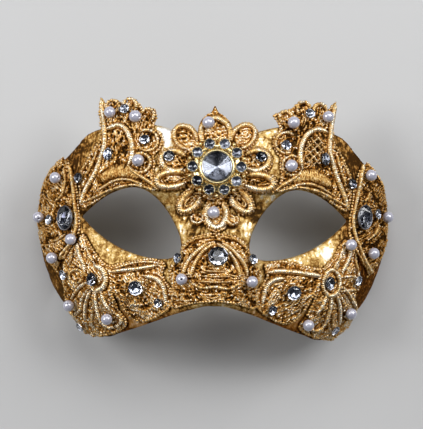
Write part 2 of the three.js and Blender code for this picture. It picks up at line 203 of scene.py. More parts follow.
def widths(width, path):
    """One width, or start, middle and end widths eased along the path, at each of its points."""
    if isinstance(width, tuple):
        t = np.linspace(0, 1, len(path))
        ease = np.sin(math.pi * t) ** 0.8
        return (width[0] * (1 - t) + width[2] * t) * (1 - ease) + width[1] * ease
    return np.full(len(path), float(width))


END_TAPER, END_SHARE = 1.8, 0.45


def cord_widths(width, path):
    """A cord's width at each point of its path. It thins towards its ends, where it is tucked in."""
    steps = np.linalg.norm(np.diff(path, axis=0), axis=1)
    along = np.concatenate([[0], np.cumsum(steps)])
    to_end = np.minimum(along, along[-1] - along)
    return widths(width, path) * np.clip(END_SHARE + (1 - END_SHARE) * to_end / END_TAPER, 0, 1)


def across_cord(width, path, u, y):
    """Where each spot is across a cord: 0 on its middle line, 1 at its edges."""
    best = np.full(u.shape, FAR)
    wide = cord_widths(width, path)
    low, high = path.min(0) - 3 * wide.max(), path.max(0) + 3 * wide.max()
    near = (u > low[0]) & (u < high[0]) & (y > low[1]) & (y < high[1])
    nu, ny, found = u[near], y[near], best[near]
    for i in range(len(path) - 1):
        t, off = from_segment(path[i], path[i + 1], nu, ny)
        half = (wide[i] * (1 - t) + wide[i + 1] * t) / 2
        found = np.minimum(found, off / half)
    best[near] = found
    return best


def inside(path, u, y):
    hit = np.zeros(u.shape, bool)
    for (au, ay), (bu, by) in zip(path, np.roll(path, -1, axis=0)):
        if ay != by:
            hit ^= ((ay > y) != (by > y)) & (u < (bu - au) * (y - ay) / (by - ay) + au)
    return hit


def signed(path, u, y):
    """Distance to a closed outline, below nothing inside it."""
    d = distance(path, u, y)
    return np.where(inside(path, u, y), -d, d)


SEEN = 1.3  # lace is drawn as its top is seen, this high above the face
FOOT_TRIES = 6


def flat(points, side=1, seen=0.0):
    """Drawn points on the unrolled face. seen is how high above the face they were seen: at the
    temples that is further out than the foot."""
    p = np.array(points, float) * [side, 1]
    foot = p.copy()
    for _ in range(FOOT_TRIES):
        n = normals(turn_at(foot[:, 0], foot[:, 1]), foot[:, 1])
        foot = p - seen * n[:, :2]
    return np.stack([unrolled(foot[:, 0], foot[:, 1]), foot[:, 1]], -1)


RING_STEP = 12  # degrees


def ring(x, y, long, wide, turn=0, start=0, end=360, side=1, seen=0.0):
    """An oval, or a stretch of one from start to end degrees."""
    a = np.radians(np.arange(start, end + 0.1, RING_STEP))
    if end - start >= 360:
        a = a[:-1]
    c, s = math.cos(math.radians(turn)), math.sin(math.radians(turn))
    px = x + long * np.cos(a) * c - wide * np.sin(a) * s
    py = y + long * np.cos(a) * s + wide * np.sin(a) * c
    return flat(np.stack([px, py], -1), side, seen)


def outline_of(points, side=1, seen=SEEN):
    return spline(flat(points, side, seen), closed=True)


# %% [markdown]
# A relief sheet is a grid over the face. Cells outside the outline are dropped, the grid's edge is
# pulled onto the outline, and a front and a back are joined by walls, so it is one closed body.

# %% Make a closed sheet from an outline and two heights


def build_mesh(name, points, faces, values=None, smooth_faces=True):
    mesh = bpy.data.meshes.new(name)
    mesh.from_pydata([tuple(p) for p in points], [], [tuple(f) for f in faces])
    for key, column in (values or {}).items():
        mesh.attributes.new(key, "FLOAT", "POINT").data.foreach_set("value", np.asarray(column, np.float32))
    if smooth_faces:
        mesh.shade_smooth()
    else:
        mesh.shade_flat()
    piece = bpy.data.objects.new(name, mesh)
    scene.collection.objects.link(piece)
    return piece


PULL = 0.8  # how far the grid's edge may be pulled, in steps


def relief_sheet(name, edge, span, front, back, step):
    """edge(u, y) is below nothing inside; front(u, y, depth_in) gives heights and named values."""
    (u0, u1), (y0, y1) = span
    U, Y = np.meshgrid(np.arange(u0, u1 + step, step), np.arange(y0, y1 + step, step), indexing="ij")
    d = edge(U, Y)
    kept = (d[1:, 1:] + d[:-1, 1:] + d[1:, :-1] + d[:-1, :-1]) < 0
    pad = np.pad(kept, 1)
    touching = [pad[1:, 1:], pad[:-1, 1:], pad[1:, :-1], pad[:-1, :-1]]
    used = np.any(touching, axis=0)
    rim = used & ~np.all(touching, axis=0)
    gu, gy = np.gradient(d, step)
    size = np.maximum(gu * gu + gy * gy, 0.25)
    pull = np.clip(d, -PULL * step, PULL * step) * rim
    U, Y = U - pull * gu / size, Y - pull * gy / size
    index = np.full(U.shape, -1)
    index[used] = np.arange(used.sum())
    u, y = U[used], Y[used]
    depth_in = np.where(rim[used], 0, np.maximum(-d[used], 0))
    height, values = front(u, y, depth_in)
    low = back(u, y, depth_in)
    count = len(u)
    corner = [index[:-1, :-1], index[1:, :-1], index[1:, 1:], index[:-1, 1:]]
    top = np.stack([c[kept] for c in corner], -1)
    walls = []
    tall, wide = kept.shape
    for a, b, i, j in ((0, 1, 1, 0), (1, 2, 2, 1), (2, 3, 1, 2), (3, 0, 0, 1)):
        bare = kept & ~pad[i:tall + i, j:wide + j]
        p, q = corner[a][bare], corner[b][bare]
        walls.append(np.stack([q, p, p + count, q + count], -1))
    faces = np.concatenate([top, top[:, ::-1] + count] + walls)
    points = np.concatenate([on_face(u, y, height), on_face(u, y, low)])
    doubled = {key: np.concatenate([v, np.zeros(count)]) for key, v in values.items()}
    doubled["behind"] = np.concatenate([np.zeros(count), np.ones(count)])
    return build_mesh(name, points, faces, doubled)


# %% [markdown]
# ## Finishes
# Everything gold here is the same idea: leaf rubbed over brown size, pale where fingers polished it
# and where painted highlights sit on its crests, and brown in the hollows, partly patina and partly
# painted shade. One node group turns a value of wear and painted light, and some noise, into that
# colour, and every gold material uses it with its own numbers.

# %% Helpers for nodes


def feed(tree, node, inputs):
    """Sets each input of a node to a value, or links a socket to it."""
    for slot, source in inputs.items():
        if isinstance(source, bpy.types.NodeSocket):
            tree.links.new(source, node.inputs[slot])
        else:
            node.inputs[slot].default_value = source


def add_node(tree, kind, inputs=None, **settings):
    node = tree.nodes.new(kind)
    for key, value in settings.items():
        setattr(node, key, value)
    feed(tree, node, inputs or {})
    return node


def open_sockets(group, inputs, outputs):
    """Gives a node group its named sockets. Gives back what comes in, and the node to feed."""
    for name, kind, *start in inputs:
        socket = group.interface.new_socket(name, in_out="INPUT", socket_type="NodeSocket" + kind)
        if start:
            socket.default_value = start[0]
    for name, kind in outputs:
        group.interface.new_socket(name, in_out="OUTPUT", socket_type="NodeSocket" + kind)
    return add_node(group, "NodeGroupInput").outputs, add_node(group, "NodeGroupOutput")


def mix(tree, factor, a, b, blend="MIX"):
    """Mixes two colours. Each of factor, a and b is a value or a socket."""
    inputs = {0: factor, 6: a, 7: b}
    return add_node(tree, "ShaderNodeMix", inputs, data_type="RGBA", blend_type=blend).outputs[2]


def calc(tree, operation, a, b=0.0, c=0.0):
    return add_node(tree, "ShaderNodeMath", {0: a, 1: b, 2: c}, operation=operation).outputs[0]


def stretch(tree, value, low, high, to_low=0.0, to_high=1.0):
    """Maps a range smoothly onto another."""
    inputs = {0: value, 1: low, 2: high, 3: to_low, 4: to_high}
    return add_node(tree, "ShaderNodeMapRange", inputs, interpolation_type="SMOOTHSTEP").outputs[0]


def noise(tree, scale, detail=3.0, rough=0.55, stretch_by=(1, 1, 1)):
    """Noise on the piece's own coordinates. scale is in lumps per metre."""
    where = add_node(tree, "ShaderNodeTexCoord").outputs["Object"]
    mapped = add_node(tree, "ShaderNodeMapping", {"Vector": where, "Scale": stretch_by}).outputs[0]
    inputs = {"Vector": mapped, "Scale": scale, "Detail": detail, "Roughness": rough}
    return add_node(tree, "ShaderNodeTexNoise", inputs).outputs["Fac"]


def value_of(tree, name):
    return add_node(tree, "ShaderNodeAttribute", attribute_name=name).outputs["Fac"]


def material(name, **plain):
    """A new material and its Principled shader, with plain values on the shader's own sockets."""
    made = bpy.data.materials.new(name)
    made.use_nodes = True
    shader = made.node_tree.nodes["Principled BSDF"]
    feed(made.node_tree, shader, {key.replace("_", " "): number for key, number in plain.items()})
    return made, made.node_tree, shader


# %% The gilding group


def gilding_group():
    group = bpy.data.node_groups.new("rubbed gilding", "ShaderNodeTree")
    take, give = open_sockets(
        group,
        [("Worn", "Float", 0.5), ("Lump Scale", "Float", 300.0), ("Unevenness", "Float", 0.3),
         ("Pale", "Color", (1.0, 0.945, 0.79, 1)), ("Gold", "Color", (0.74, 0.46, 0.145, 1)),
         ("Rust", "Color", (0.44, 0.178, 0.026, 1)), ("Brown", "Color", (0.034, 0.0125, 0.0025, 1))],
        [("Color", "Color"), ("Roughness", "Float"), ("Grain", "Float")])
    lumps = noise(group, take["Lump Scale"], 5.0, 0.6)
    lift = calc(group, "MULTIPLY", calc(group, "SUBTRACT", lumps, 0.5), take["Unevenness"])
    worn = calc(group, "ADD", take["Worn"], calc(group, "MULTIPLY", lift, 2.0))
    low = mix(group, stretch(group, worn, 0.0, 0.3), take["Brown"], take["Rust"])
    middle = mix(group, stretch(group, worn, 0.25, 0.6), low, take["Gold"])
    feed(group, give, {
        "Color": mix(group, stretch(group, worn, 0.6, 1.0), middle, take["Pale"]),
        "Roughness": stretch(group, worn, 0.1, 0.9, 0.6, 0.27),
        "Grain": noise(group, calc(group, "MULTIPLY", take["Lump Scale"], 4.0), 3.0)})
    return group


def wrinkle_group():
    """Crumpled foil: sharp little valleys, as a mask that paints shade in the creases and as a height."""
    group = bpy.data.node_groups.new("crumpled foil", "ShaderNodeTree")
    take, give = open_sockets(group, [("Scale", "Float", 300.0)], [("Ridge", "Float")])
    coarse = noise(group, take["Scale"], 5.0, 0.65, (1, 0.7, 1))
    fine = noise(group, calc(group, "MULTIPLY", take["Scale"], 2.7), 4.0, 0.6, (0.7, 1, 1))
    folds = calc(group, "ABSOLUTE", calc(group, "SUBTRACT", coarse, 0.5))
    nicks = calc(group, "ABSOLUTE", calc(group, "SUBTRACT", fine, 0.5))
    both = calc(group, "ADD", calc(group, "MULTIPLY", folds, 5.0), calc(group, "MULTIPLY", nicks, 2.5))
    feed(group, give, {"Ridge": calc(group, "MINIMUM", both, 1.0)})
    return group


GILDING, WRINKLES = gilding_group(), wrinkle_group()
WARM_EDGES = (1.0, 0.72, 0.4, 1)  # old gilding stays warm even where light grazes it
GRAIN_HEIGHT = 0.22


def gilded(name, worn, lump_scale, unevenness, bump, metallic=0.8, **colours):
    """A gold material. The function after the name makes, in its own nodes, the value of wear and painted
    light.
    """
    made, tree, shader = material(name, Metallic=metallic, Specular_Tint=WARM_EDGES)
    inputs = {"Worn": worn(tree), "Lump Scale": lump_scale, "Unevenness": unevenness}
    inputs |= {key: (*colour, 1) for key, colour in colours.items()}
    gold = add_node(tree, "ShaderNodeGroup", inputs, node_tree=GILDING).outputs
    grain = {"Strength": bump, "Distance": GRAIN_HEIGHT * MM, "Height": gold["Grain"]}
    raised = add_node(tree, "ShaderNodeBump", grain)
    feed(tree, shader, {
        "Base Color": gold["Color"], "Roughness": gold["Roughness"], "Normal": raised.outputs[0]})
    return made


def cord_wear_and_painted_light(tree):
    """Each cord has its own tone, on top of the painted highlight and shade that its thread's shape gives.
    """
    return calc(tree, "ADD", value_of(tree, "worn"), value_of(tree, "tone"))


NET_GOLD = gilded("gilded net", lambda tree: value_of(tree, "worn"), 900.0, 0.7, 1.0, metallic=0.9)
CORD_GOLD = gilded("gilded satin cord", cord_wear_and_painted_light, 600.0, 0.7, 0.8, metallic=0.85,
                   Pale=(1.0, 0.93, 0.75), Gold=(0.8, 0.53, 0.19), Brown=(0.05, 0.02, 0.005))
PADDING_GOLD = gilded("gilded padding", cord_wear_and_painted_light, 900.0, 0.95, 1.0, metallic=0.85,
                      Pale=(1.0, 0.93, 0.75), Gold=(0.8, 0.54, 0.2))
print("gold finishes:", NET_GOLD.name, CORD_GOLD.name, PADDING_GOLD.name)

# %% [markdown]
# ## The shell
# The shell is a wall of papier mache, 2.4 mm thick, with rounded edges. Its front carries the leaf:
# laid in small squares that overlap, wrinkled, with painted highlights where it is brightest, painted
# shade where it meets the lace, and brown towards the rims.

# %% Outlines of the shell and of its eye openings


def mirrored_loop(points, top, foot):
    left = [(-x, y) for x, y in points][::-1]
    return [top] + points + [foot] + left


def bezier(a, b, c, d, steps=12):
    t = np.linspace(0, 1, steps, endpoint=False)[:, None]
    a, b, c, d = (np.array(p, float) for p in (a, b, c, d))
    return (1 - t) ** 3 * a + 3 * (1 - t) ** 2 * t * b + 3 * (1 - t) * t * t * c + t ** 3 * d


EYE = [  # four points for each curve, and the last of one is the first of the next
    (65.8, 1.3), (59.5, 8), (50, 15.6), (39.5, 15.6), (30, 15.6), (18.5, 0), (17.3, -10), (17, -13),
    (17.5, -15.5), (19, -16.3), (20.5, -17.5), (23, -18.6), (26, -18.6), (40, -18.6), (57, -9.5),
    (65.8, 1.3)]


def eye_path(side):
    return flat(np.concatenate([bezier(*EYE[i:i + 4]) for i in range(0, len(EYE) - 1, 3)]), side)


def outlined(path, holes=()):
    """An edge function: below nothing inside the outline, and above it in the holes."""
    def edge(u, y):
        d = signed(path, u, y)
        for hole in holes:
            d = np.maximum(d, -signed(hole, u, y))
        return d
    return edge


shell_path = outline_of(mirrored_loop(SHELL_EDGE, (0, 43.6), (0, -41)), seen=0.0)
eye_paths = [eye_path(side) for side in (-1, 1)]
shell_outline = outlined(shell_path, eye_paths)


def shell_edge(u, y):
    return np.maximum(shell_outline(u, y), np.abs(u) - ARC[-1])


print(f"the shell's outline has {len(shell_path)} points, each eye {len(eye_paths[0])}")

# %% [markdown]
# ## The lace, as drawn
# Each piece is an outline, the satin cords on it and a net between them. The cords are lists of
# a width and the points that the cord runs through, read off the object in millimetres.

# %% The flower
FLOWER_MIDDLE = (0.2, 25.5)
PETALS = [  # x, y, half length, half width, turn; the rim is open towards the flower's middle
    (-15.2, 40.2, 7.4, 6, -48 + 180), (-20.6, 28.7, 7.8, 6.4, -8 + 180), (-21.6, 20.1, 9, 4.9, 6 + 180),
    (-12.6, 9.8, 7.8, 5, 50 + 180), (0.2, 3.2, 8.6, 6.2, -90), (12.2, 10.2, 7.8, 5, -52),
    (20.4, 19.6, 9, 4.9, -5), (19.2, 29.6, 7.8, 6.4, 8), (12.8, 41.2, 7.6, 6, 46)]
TOP_PETAL = [
    (-7.6, 37), (-9.2, 43), (-8, 48.4), (-5, 52), (-2.6, 53.4), (-1, 56.4), (0.8, 53.2), (3.4, 51.6),
    (6.6, 48), (8, 43), (6.8, 37)]
TOP_CORD = [(-6.8, 37), (-7.8, 43), (-6, 47.6), (-1, 50), (4.2, 47.6), (6.6, 43), (5.8, 37)]
PETAL_CORD = 3.0
FLOWER_HEART = 16.5
UPPER_PETALS = (0, 8)  # knotty ones, with a thinner rim
LOOPED_PETALS = (3, 5)  # with a small loop of cord in the middle
LEFT_TONES, RIGHT_TONES, LOW_TONES = (-0.2, 0.05, 0.25), (0.25, 0.05, -0.2), (0.0, 0.3, 0.0)
UPPER_TONE = 0.02
# pale spots painted on the upper petals: painted highlights
PETAL_PAINTED_HIGHLIGHTS = [(-15, 40, 5, 6, 0.2), (13, 41, 5, 6, 0.2), (1, 46, 5, 6, 0.25), (-21, 20, 6, 4, 0.1)]
SMALL_LOOPS = [(-8.8, 0.6, 3.1), (7.8, 0.2, 3.1)]  # between the lowest petal and its neighbours


def flower_cords():
    """The rims are paler along their lower sides and browner above."""
    cords = []
    for i, (x, y, long, wide, turn) in enumerate(PETALS):
        width, tone = PETAL_CORD, LEFT_TONES if 90 < turn < 270 else RIGHT_TONES
        if i in UPPER_PETALS:
            width, tone = 2.2, UPPER_TONE
        if turn == -90:
            tone = LOW_TONES
        inset = width / 2
        cords.append((width, ring(x, y, long - inset, wide - inset, turn, -140, 140), tone))
    cords.append((PETAL_CORD - 0.2, spline(flat(TOP_CORD)), 0.0))
    for i in LOOPED_PETALS:
        x, y, long, wide, turn = PETALS[i]
        cords.append((1.2, ring(x, y, long * 0.4, wide * 0.3, turn, -130, 130), -0.1))
    for x, y, r in SMALL_LOOPS:
        cords.append((1.3, ring(x, y, r - 0.5, r - 0.5, -90, -130, 130), 0.15))
    return cords


def flower_edge(u, y):
    d = signed(ring(*FLOWER_MIDDLE, FLOWER_HEART, FLOWER_HEART), u, y)
    for petal in PETALS:
        d = np.minimum(d, signed(ring(*petal), u, y))
    for x, y_middle, r in SMALL_LOOPS:
        d = np.minimum(d, signed(ring(x, y_middle, r, r), u, y))
    return np.minimum(d, signed(outline_of(TOP_PETAL, seen=0.0), u, y))


print("petals drawn:", len(PETALS) + 1)

# %% The brow lace. Cut by hand, the two sides differ, but both are drawn as if on the right
BROW_EDGE = {
    "right": [
        (59.6, 60.2), (57.4, 57.4), (55, 56.2), (53.4, 58.2), (50.6, 58.8), (48.2, 57.2), (46.4, 57.4),
        (44.4, 59.4), (41, 59.2), (38, 56.8), (35.4, 55), (31.8, 53.6), (28.3, 52.6), (30.4, 49),
        (31.4, 45.4), (28.6, 42.4), (27.8, 38.4), (29.6, 34.2), (31.8, 32), (31.2, 28), (31.8, 24.4),
        (31.2, 19), (27.6, 14.6), (32, 16.4), (39.5, 17.6), (45, 17), (50, 15), (54.4, 12.4), (58, 10),
        (64.6, 6.4), (66.4, 10), (67, 16), (67.2, 22), (65, 27.6), (61.8, 34), (58.8, 39), (57.6, 45),
        (58.4, 52)],
    "left": [
        (57.4, 60.2), (55.6, 56.8), (53.6, 55.2), (52.2, 57.8), (49.8, 58.6), (47.4, 57.6), (45.4, 56.4),
        (43.8, 57.8), (41.6, 58.6), (38.6, 57.2), (36.2, 53.8), (33.8, 54.4), (31, 54.6), (29.8, 51),
        (31, 47.4), (31.2, 45), (27.8, 42.4), (26.6, 38.4), (28.8, 34.2), (31, 32), (30.2, 28),
        (30.8, 24.4), (31.2, 19), (27.8, 15), (32, 16.2), (39.5, 17.2), (45, 16.6), (50, 14.6), (54.4, 12),
        (58, 9.6), (64.6, 6), (66.4, 10), (66.8, 16), (66.6, 22), (63.6, 28.2), (60.6, 34), (57.2, 39),
        (56.8, 45), (57.4, 52)]}
BROW_CORDS = {  # width, or widths at start, middle and end; points; how much paler than its thread
    "right": [
        (2.4, [(58.8, 58.6), (57.4, 52), (56.4, 45.4), (55.8, 36), (57.6, 28.2), (59.9, 21.2), (63.6, 13),
         (65, 8)], 0.15),
        (1.4, [(58.8, 34), (61, 26.6), (63.6, 19.4)]),
        (1.1, [(62.8, 28.4), (66, 22.6)]),
        (2.6, [(54.4, 44.8), (50.6, 46.2), (46.6, 45), (43.3, 41.8), (41.4, 37), (41, 31), (41.8, 26.4)],
         0.2),
        (1.8, [(41.8, 26.2), (39.6, 23), (36, 20.6), (31.9, 18.2), (28.8, 15.6)]),
        ((3.2, 6.0, 1.5), [(56.6, 18.4), (52.8, 21), (46.8, 23.4), (41, 22), (36.4, 19.4)], -0.04),
        (1.5, [(58.4, 13.6), (54.4, 15.8), (50, 18), (45, 19.2), (40, 18.8), (35, 17)]),
        (1.5, [(65.8, 8.2), (59, 11.4), (51, 15.4), (42, 17.4), (36.4, 17), (30, 15.2)])],
    "left": [
        (2.4, [(56.8, 58.8), (55.9, 52), (55.1, 45.1), (54.7, 36.8), (57.2, 27.6), (59.3, 22.2), (63.4, 15),
         (66, 8)], 0.15),
        (1.4, [(58.1, 34.5), (59.1, 30.7), (60.7, 26.5), (62.7, 22.5)]),
        (1.1, [(62.4, 28.5), (66, 22.6)]),
        (2.6, [(53.6, 44.6), (48, 46.4), (44.2, 44), (41.5, 37.6), (41.2, 31), (42.8, 26.4)], 0.2),
        (1.9, [(42.8, 26.4), (40.1, 23.4), (36.5, 21.2), (31.7, 18.2), (29, 15.6)]),
        ((3.4, 6.2, 1.5), [(56.8, 18.8), (53.6, 21.6), (48, 24), (42.4, 23.2), (37, 19.8)], -0.06),
        (1.5, [(58.4, 13.8), (54.4, 16.2), (50.4, 18.6), (46, 19.8), (41, 19.4), (35, 17.2)]),
        (1.5, [(66, 8), (59, 11), (51, 14.8), (42, 17.2), (36.4, 16.8), (30, 15)])]}
BROW_RINGS = [(50.5, 55, 3.2, 3.2, 90, -120, 120), (42.2, 55.6, 3.3, 3.2, 100, -120, 120),
              (33.6, 50.6, 3.5, 3.1, 120, -110, 110), (33.6, 38.4, 5.2, 5.2, 180, -125, 125),
              (36.6, 27.4, 4.7, 4.5, 185, -125, 125)]
HORN_HOLES = {
    "right": [(38.6, 43.2, 1.1), (38, 38.8, 1.1), (38, 33.8, 1.1), (49.8, 39.3, 1.2),
              (48.9, 35.2, 1.1), (46.4, 32.6, 1.1), (43.8, 30.4, 1.0), (46.2, 41.4, 0.8), (52.4, 42, 0.8),
              (46, 37, 0.8), (51.4, 36.2, 0.8)],
    "left": [(47.6, 42.4, 0.6), (49.6, 40.2, 0.5), (50.6, 43, 0.5), (46.4, 38.4, 0.6), (49.2, 36.6, 0.5),
             (44.8, 34.4, 0.6), (47.4, 32.8, 0.6), (38.6, 43.2, 0.6), (37.9, 33.2, 0.6)]}
BROW_PAINTED_SHADE = {  # x, y, spread across and up, and how much paler; all are painted shade, and the small ones are painted dark pits
    "right": [
        (48.6, 36, 4, 8, -0.3), (40, 42, 4, 6, -0.15), (44.6, 48.7, 0.8, 0.8, -3),
        (47.4, 49.4, 0.7, 0.7, -3), (41.3, 46.3, 0.85, 0.85, -3)],
    "left": [(48, 37, 4, 7, -0.05)]}
LATTICE = [
    (43.6, 28.5), (42.8, 33), (43.4, 38), (45.6, 41.8), (49, 43), (52, 40.6), (52.4, 35), (51, 29.5),
    (47, 27.6)]


STRAND_SLOPES = (0.95, -1.15)
STRAND_GAP, STRAND_WIDTH, STRAND_TONE = 2.7, 0.85, 0.02
LATTICE_REACH = 14


def crossed_strands(outline):
    """Straight strands both ways across an outline, as drawn."""
    shape = np.array(outline, float)
    steps = np.arange(-LATTICE_REACH, LATTICE_REACH, 0.7)[:, None]
    cords = []
    for slope in STRAND_SLOPES:
        along = np.array([1, slope]) / math.hypot(1, slope)
        aside = np.array([-along[1], along[0]])
        for k in np.arange(1 - LATTICE_REACH, LATTICE_REACH - 1, STRAND_GAP):
            line = shape.mean(0) + aside * k + along * steps
            kept = line[inside(shape, line[:, 0], line[:, 1])]
            if len(kept) > 4:
                cords.append((STRAND_WIDTH, kept, STRAND_TONE))
    return cords


# %% The temple leaf, drawn on the right
TEMPLE_EDGE = [(72.6, 27.6), (70.4, 22), (69, 17.5), (67.9, 9), (66.8, 0), (67.2, -6), (68.6, -10.4),
               (74.2, -18.4), (78.4, -25)]
TEMPLE_BACK = [(30, 27), (18, 14), (2, 10), (-12, 13), (-26, 25)]  # as y and z, seen from the side
TEMPLE_CORDS = {
    "left": [
        (1.9, [(71.8, 26), (70.4, 20), (69.4, 13), (68.6, 6), (68, 0), (68, -4), (69.2, -8.6)], -0.05),
        (2.0, [(68.8, -9.4), (71.4, -13.2), (75, -17.6), (77.4, -22.4)], -0.02),
        (1.2, [(74.6, 25), (73.6, 18), (75.4, 11.5), (78.6, 8.6)]),
        (1.2, [(73.4, -7.6), (76.4, -10), (80, -11.4)])],
    "right": [
        ((2.4, 1.75, 2.1), [(73.3, 29), (71.4, 20), (69.6, 11), (68.4, 3), (69.4, -5), (72.6, -13),
                            (76, -19.6), (79, -24)], 0.05),
        (1.4, [(76.6, 15.6), (74.6, 12), (72.6, 11.4)]),
        (1.4, [(76.2, -7.6), (79.4, -5), (82, -1)])]}

# %% The cheek fan and leaf, drawn on the right
CHEEK_OUTER = {
    "right": [(64.8, -7.6), (67.6, -10.4), (69.4, -14.6), (70.4, -18), (71, -22), (72.2, -26), (72.4, -30),
              (71, -35), (71, -41), (71, -46), (69.6, -50.4), (67.4, -53), (65.2, -55.2), (61.4, -57.4)],
    "left": [(64.8, -7.6), (67.6, -10.4), (70, -14.6), (72, -18), (73.8, -22), (75, -26), (75, -30),
             (74.2, -35), (73, -41), (71.6, -46), (69.6, -49.6), (67.2, -52.8), (65, -55.4), (61.4, -57.2)]}
CHEEK_INNER = [
    (58, -58), (52, -56.8), (47, -54.8), (43.4, -52.4), (43, -49.4), (46.4, -45), (48.4, -40.6),
    (50, -36.6), (49.6, -34.8), (48, -36.4), (46, -40.2), (44.2, -43.2), (41.6, -46.8), (37.4, -49.4),
    (33, -49), (28.4, -47), (24, -44), (21.2, -41), (20.8, -37), (21.6, -33), (24.4, -29.6), (25.8, -25.6),
    (24.6, -21.4), (28, -19.4), (33, -19), (41, -20.4), (48.6, -22.2), (52.4, -22.6), (55, -20.8),
    (58.4, -17.4), (61.6, -12)]
CHEEK_EDGE = {where: outer + CHEEK_INNER for where, outer in CHEEK_OUTER.items()}
CHEEK_CORDS = [
    (2.3, [(67.4, -12.4), (66, -17.6), (63, -23.6)], 0.25),
    (1.7, [(63.6, -11.4), (61.4, -17), (58.8, -21.4)], 0.12),
    (1.2, [(69.6, -15), (69.8, -19.4), (71.4, -22.8)]),
    (1.2, [(71.2, -14.6), (73.6, -19.4)]),
    (1.8, [(61.6, -30.8), (65.2, -32.8), (68.4, -37), (71.2, -42.6), (69.4, -47.2), (65.4, -45), (64.4, -39),
           (61, -34)], 0.2),
    (2.0, [(60.2, -35), (62.4, -41), (62.8, -49.4)], 0.28),
    (2.0, [(57.6, -36), (57.2, -42), (55.2, -49.6)], 0.25),
    (1.4, [(58.8, -44), (59.2, -52)], 0.15),
    (1.9, [(55, -35.4), (53.2, -40.2), (50.8, -44)], 0.28),
    (1.7, [(56.4, -48.6), (52, -52.6), (47, -51.8), (45, -49.4), (45.8, -47), (48.6, -45.4)], 0.15),
    (2.6, [(33.7, -27), (28.4, -28.2), (24.6, -32), (23, -39)], 0.2)]
CHEEK_OWN_CORDS = {  # the fan's ring and the leaf's upper rim differ from side to side
    "left": [
        (2.9, [(58.4, -22.4), (55, -24.2), (53.2, -27), (53, -30.4), (54.8, -33.6), (58, -35)], 0.22),
        (2.2, [(50, -25.4), (44, -24.4), (39, -23.8), (33, -22.8), (28, -21.8)], 0.18),
        (1.3, [(48.8, -23.8), (39.5, -20.9), (31.8, -20.2), (26, -21)], 0.1)],
    "right": [
        (2.2, [(59.4, -23.4), (57, -22.7), (54.5, -24.8), (53.4, -29.2), (54.4, -33.4), (57.4, -35.4),
               (60.4, -33.8), (61.7, -29.4), (60.8, -25.2), (58.2, -22.8)], 0.15),
        (2.5, [(51.6, -25.8), (46, -24.9), (39, -24), (32, -23.6), (26, -24.2)], 0.15),
        (1.5, [(62.6, -26.4), (67, -25.8), (70.8, -26)], 0.12),
        (1.5, [(62.4, -33.2), (66.4, -32.6), (70.2, -32.6)], 0.12),
        (1.5, [(71.2, -22.8), (71.8, -27), (71.4, -32.4)], 0.12)]}
CHEEK_SPOTS = {"left": [(44, -44, 5, 8, -0.2)], "right": [(42, -40, 6, 8, -0.1)]}
CHEEK_RINGS = {"left": [(67.4, -28, 3.3, 3.3, 0, -180, 168)], "right": []}

# %% The nose lace
NOSE_TOP, NOSE_FOOT = (0, -6.6), (0, -38)
NOSE_EDGE = [(5, -6.8), (9, -7.8), (12.6, -10), (15.2, -12.6), (15.4, -15), (15.8, -17), (18.4, -20.6),
             (21, -24), (20.8, -27.6), (19.8, -31), (19.6, -36), (19.2, -41.6), (13, -40), (8, -38.8)]
NOSE_CORDS = [
    (2.0, [(15.2, -25.6), (13.6, -20.6), (11, -17), (7, -13), (3.6, -10.8)], 0.08),
    (1.9, [(11.4, -26), (10.2, -21.4), (7.8, -17), (4.9, -13.6), (0.9, -11)], 0.05),
    (1.1, [(15.4, -14), (11, -9.8), (5, -8), (1.2, -7.8)], -0.15)]
NOSE_BARS = [(5, -24.2), (6.4, -26.6), (7.4, -29)]  # half length and height
NOSE_WAVE = [(-10.6, -29.6), (-6, -32), (0, -31.4), (6, -32.2), (10.6, -29.6)]
left_cords = BROW_CORDS["left"], TEMPLE_CORDS["left"], CHEEK_CORDS, NOSE_CORDS
print("cords drawn on the left side:", sum(len(cords) for cords in left_cords))

# %% [markdown]
# ## Where the gems stand
# Pearls and crystals stand square to the face. The measured model gives each one's box, and its
# foot on the face is found by stepping back from the middle of the box along the face's normal.

# %% Find each gem's foot
SEAT = 2.0
PEARL, BIG_PEARL = 5.6, 6.0
BIG_PEARLS = ("brow", "inner", "flower")
CRYSTALS = dict(  # width and height on the face
    horn=(5.4, 5.4), brow_round=(5.4, 5.4), brow_oval=(5, 7), temple_top=(5.4, 5.4), temple_small=(5.2, 5.4),
    temple_big=(9.4, 12.4), cheek_side=(5.4, 5.4), fan=(6, 7), leaf=(7.4, 7.4), leaf_small=(5, 5),
    cheek_low=(5.4, 5.4), petal=(5.6, 5.6), nose_side=(5.4, 5.4), nose=(10, 10))
SHARE_UP, REST_UP = 0.15, 0.6  # a crystal's middle is this share of its width, and this, over its seat
GEM_TRIES = 30


def foot_of(node, lift):
    """Where on the face a node stands, if its middle is lift above the face."""
    low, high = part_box(node)
    middle = np.array((low + high) / 2) / MM - SHIFT
    x, y = middle[:2]
    for _ in range(GEM_TRIES):
        n = normals(turn_at(x, y), y)
        x, y = middle[0] - n[0] * lift, middle[1] - n[1] * lift
    return x, y


def crystal_kind(node):
    name = node.removeprefix("crystal_")
    return name.removesuffix("_left").removesuffix("_right")


gems = {}
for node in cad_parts:
    if node.startswith("pearl_"):
        across = BIG_PEARL if any(word in node for word in BIG_PEARLS) else PEARL
        gems[node] = dict(size=(across, across), foot=foot_of(node, SEAT + across / 2))
    elif node.startswith("crystal_"):
        size = CRYSTALS[crystal_kind(node)]
        gems[node] = dict(size=size, foot=foot_of(node, SEAT + SHARE_UP * size[0] + REST_UP))
gem_spots = [(*flat([gem["foot"]])[0], max(gem["size"]) / 2, min(gem["size"]) / 2) for gem in gems.values()]
brooch_spot = flat([FLOWER_MIDDLE])[0]
BROOCH_REACH = 15.6
print("gems found:", len(gems))


def room(u, y):
    """Distance to the nearest gem's edge."""
    d = np.hypot(u - brooch_spot[0], y - brooch_spot[1]) - BROOCH_REACH
    for gu, gy, tall, wide in gem_spots:
        d = np.minimum(d, np.hypot((u - gu) * tall / wide, y - gy) - tall)
    return d


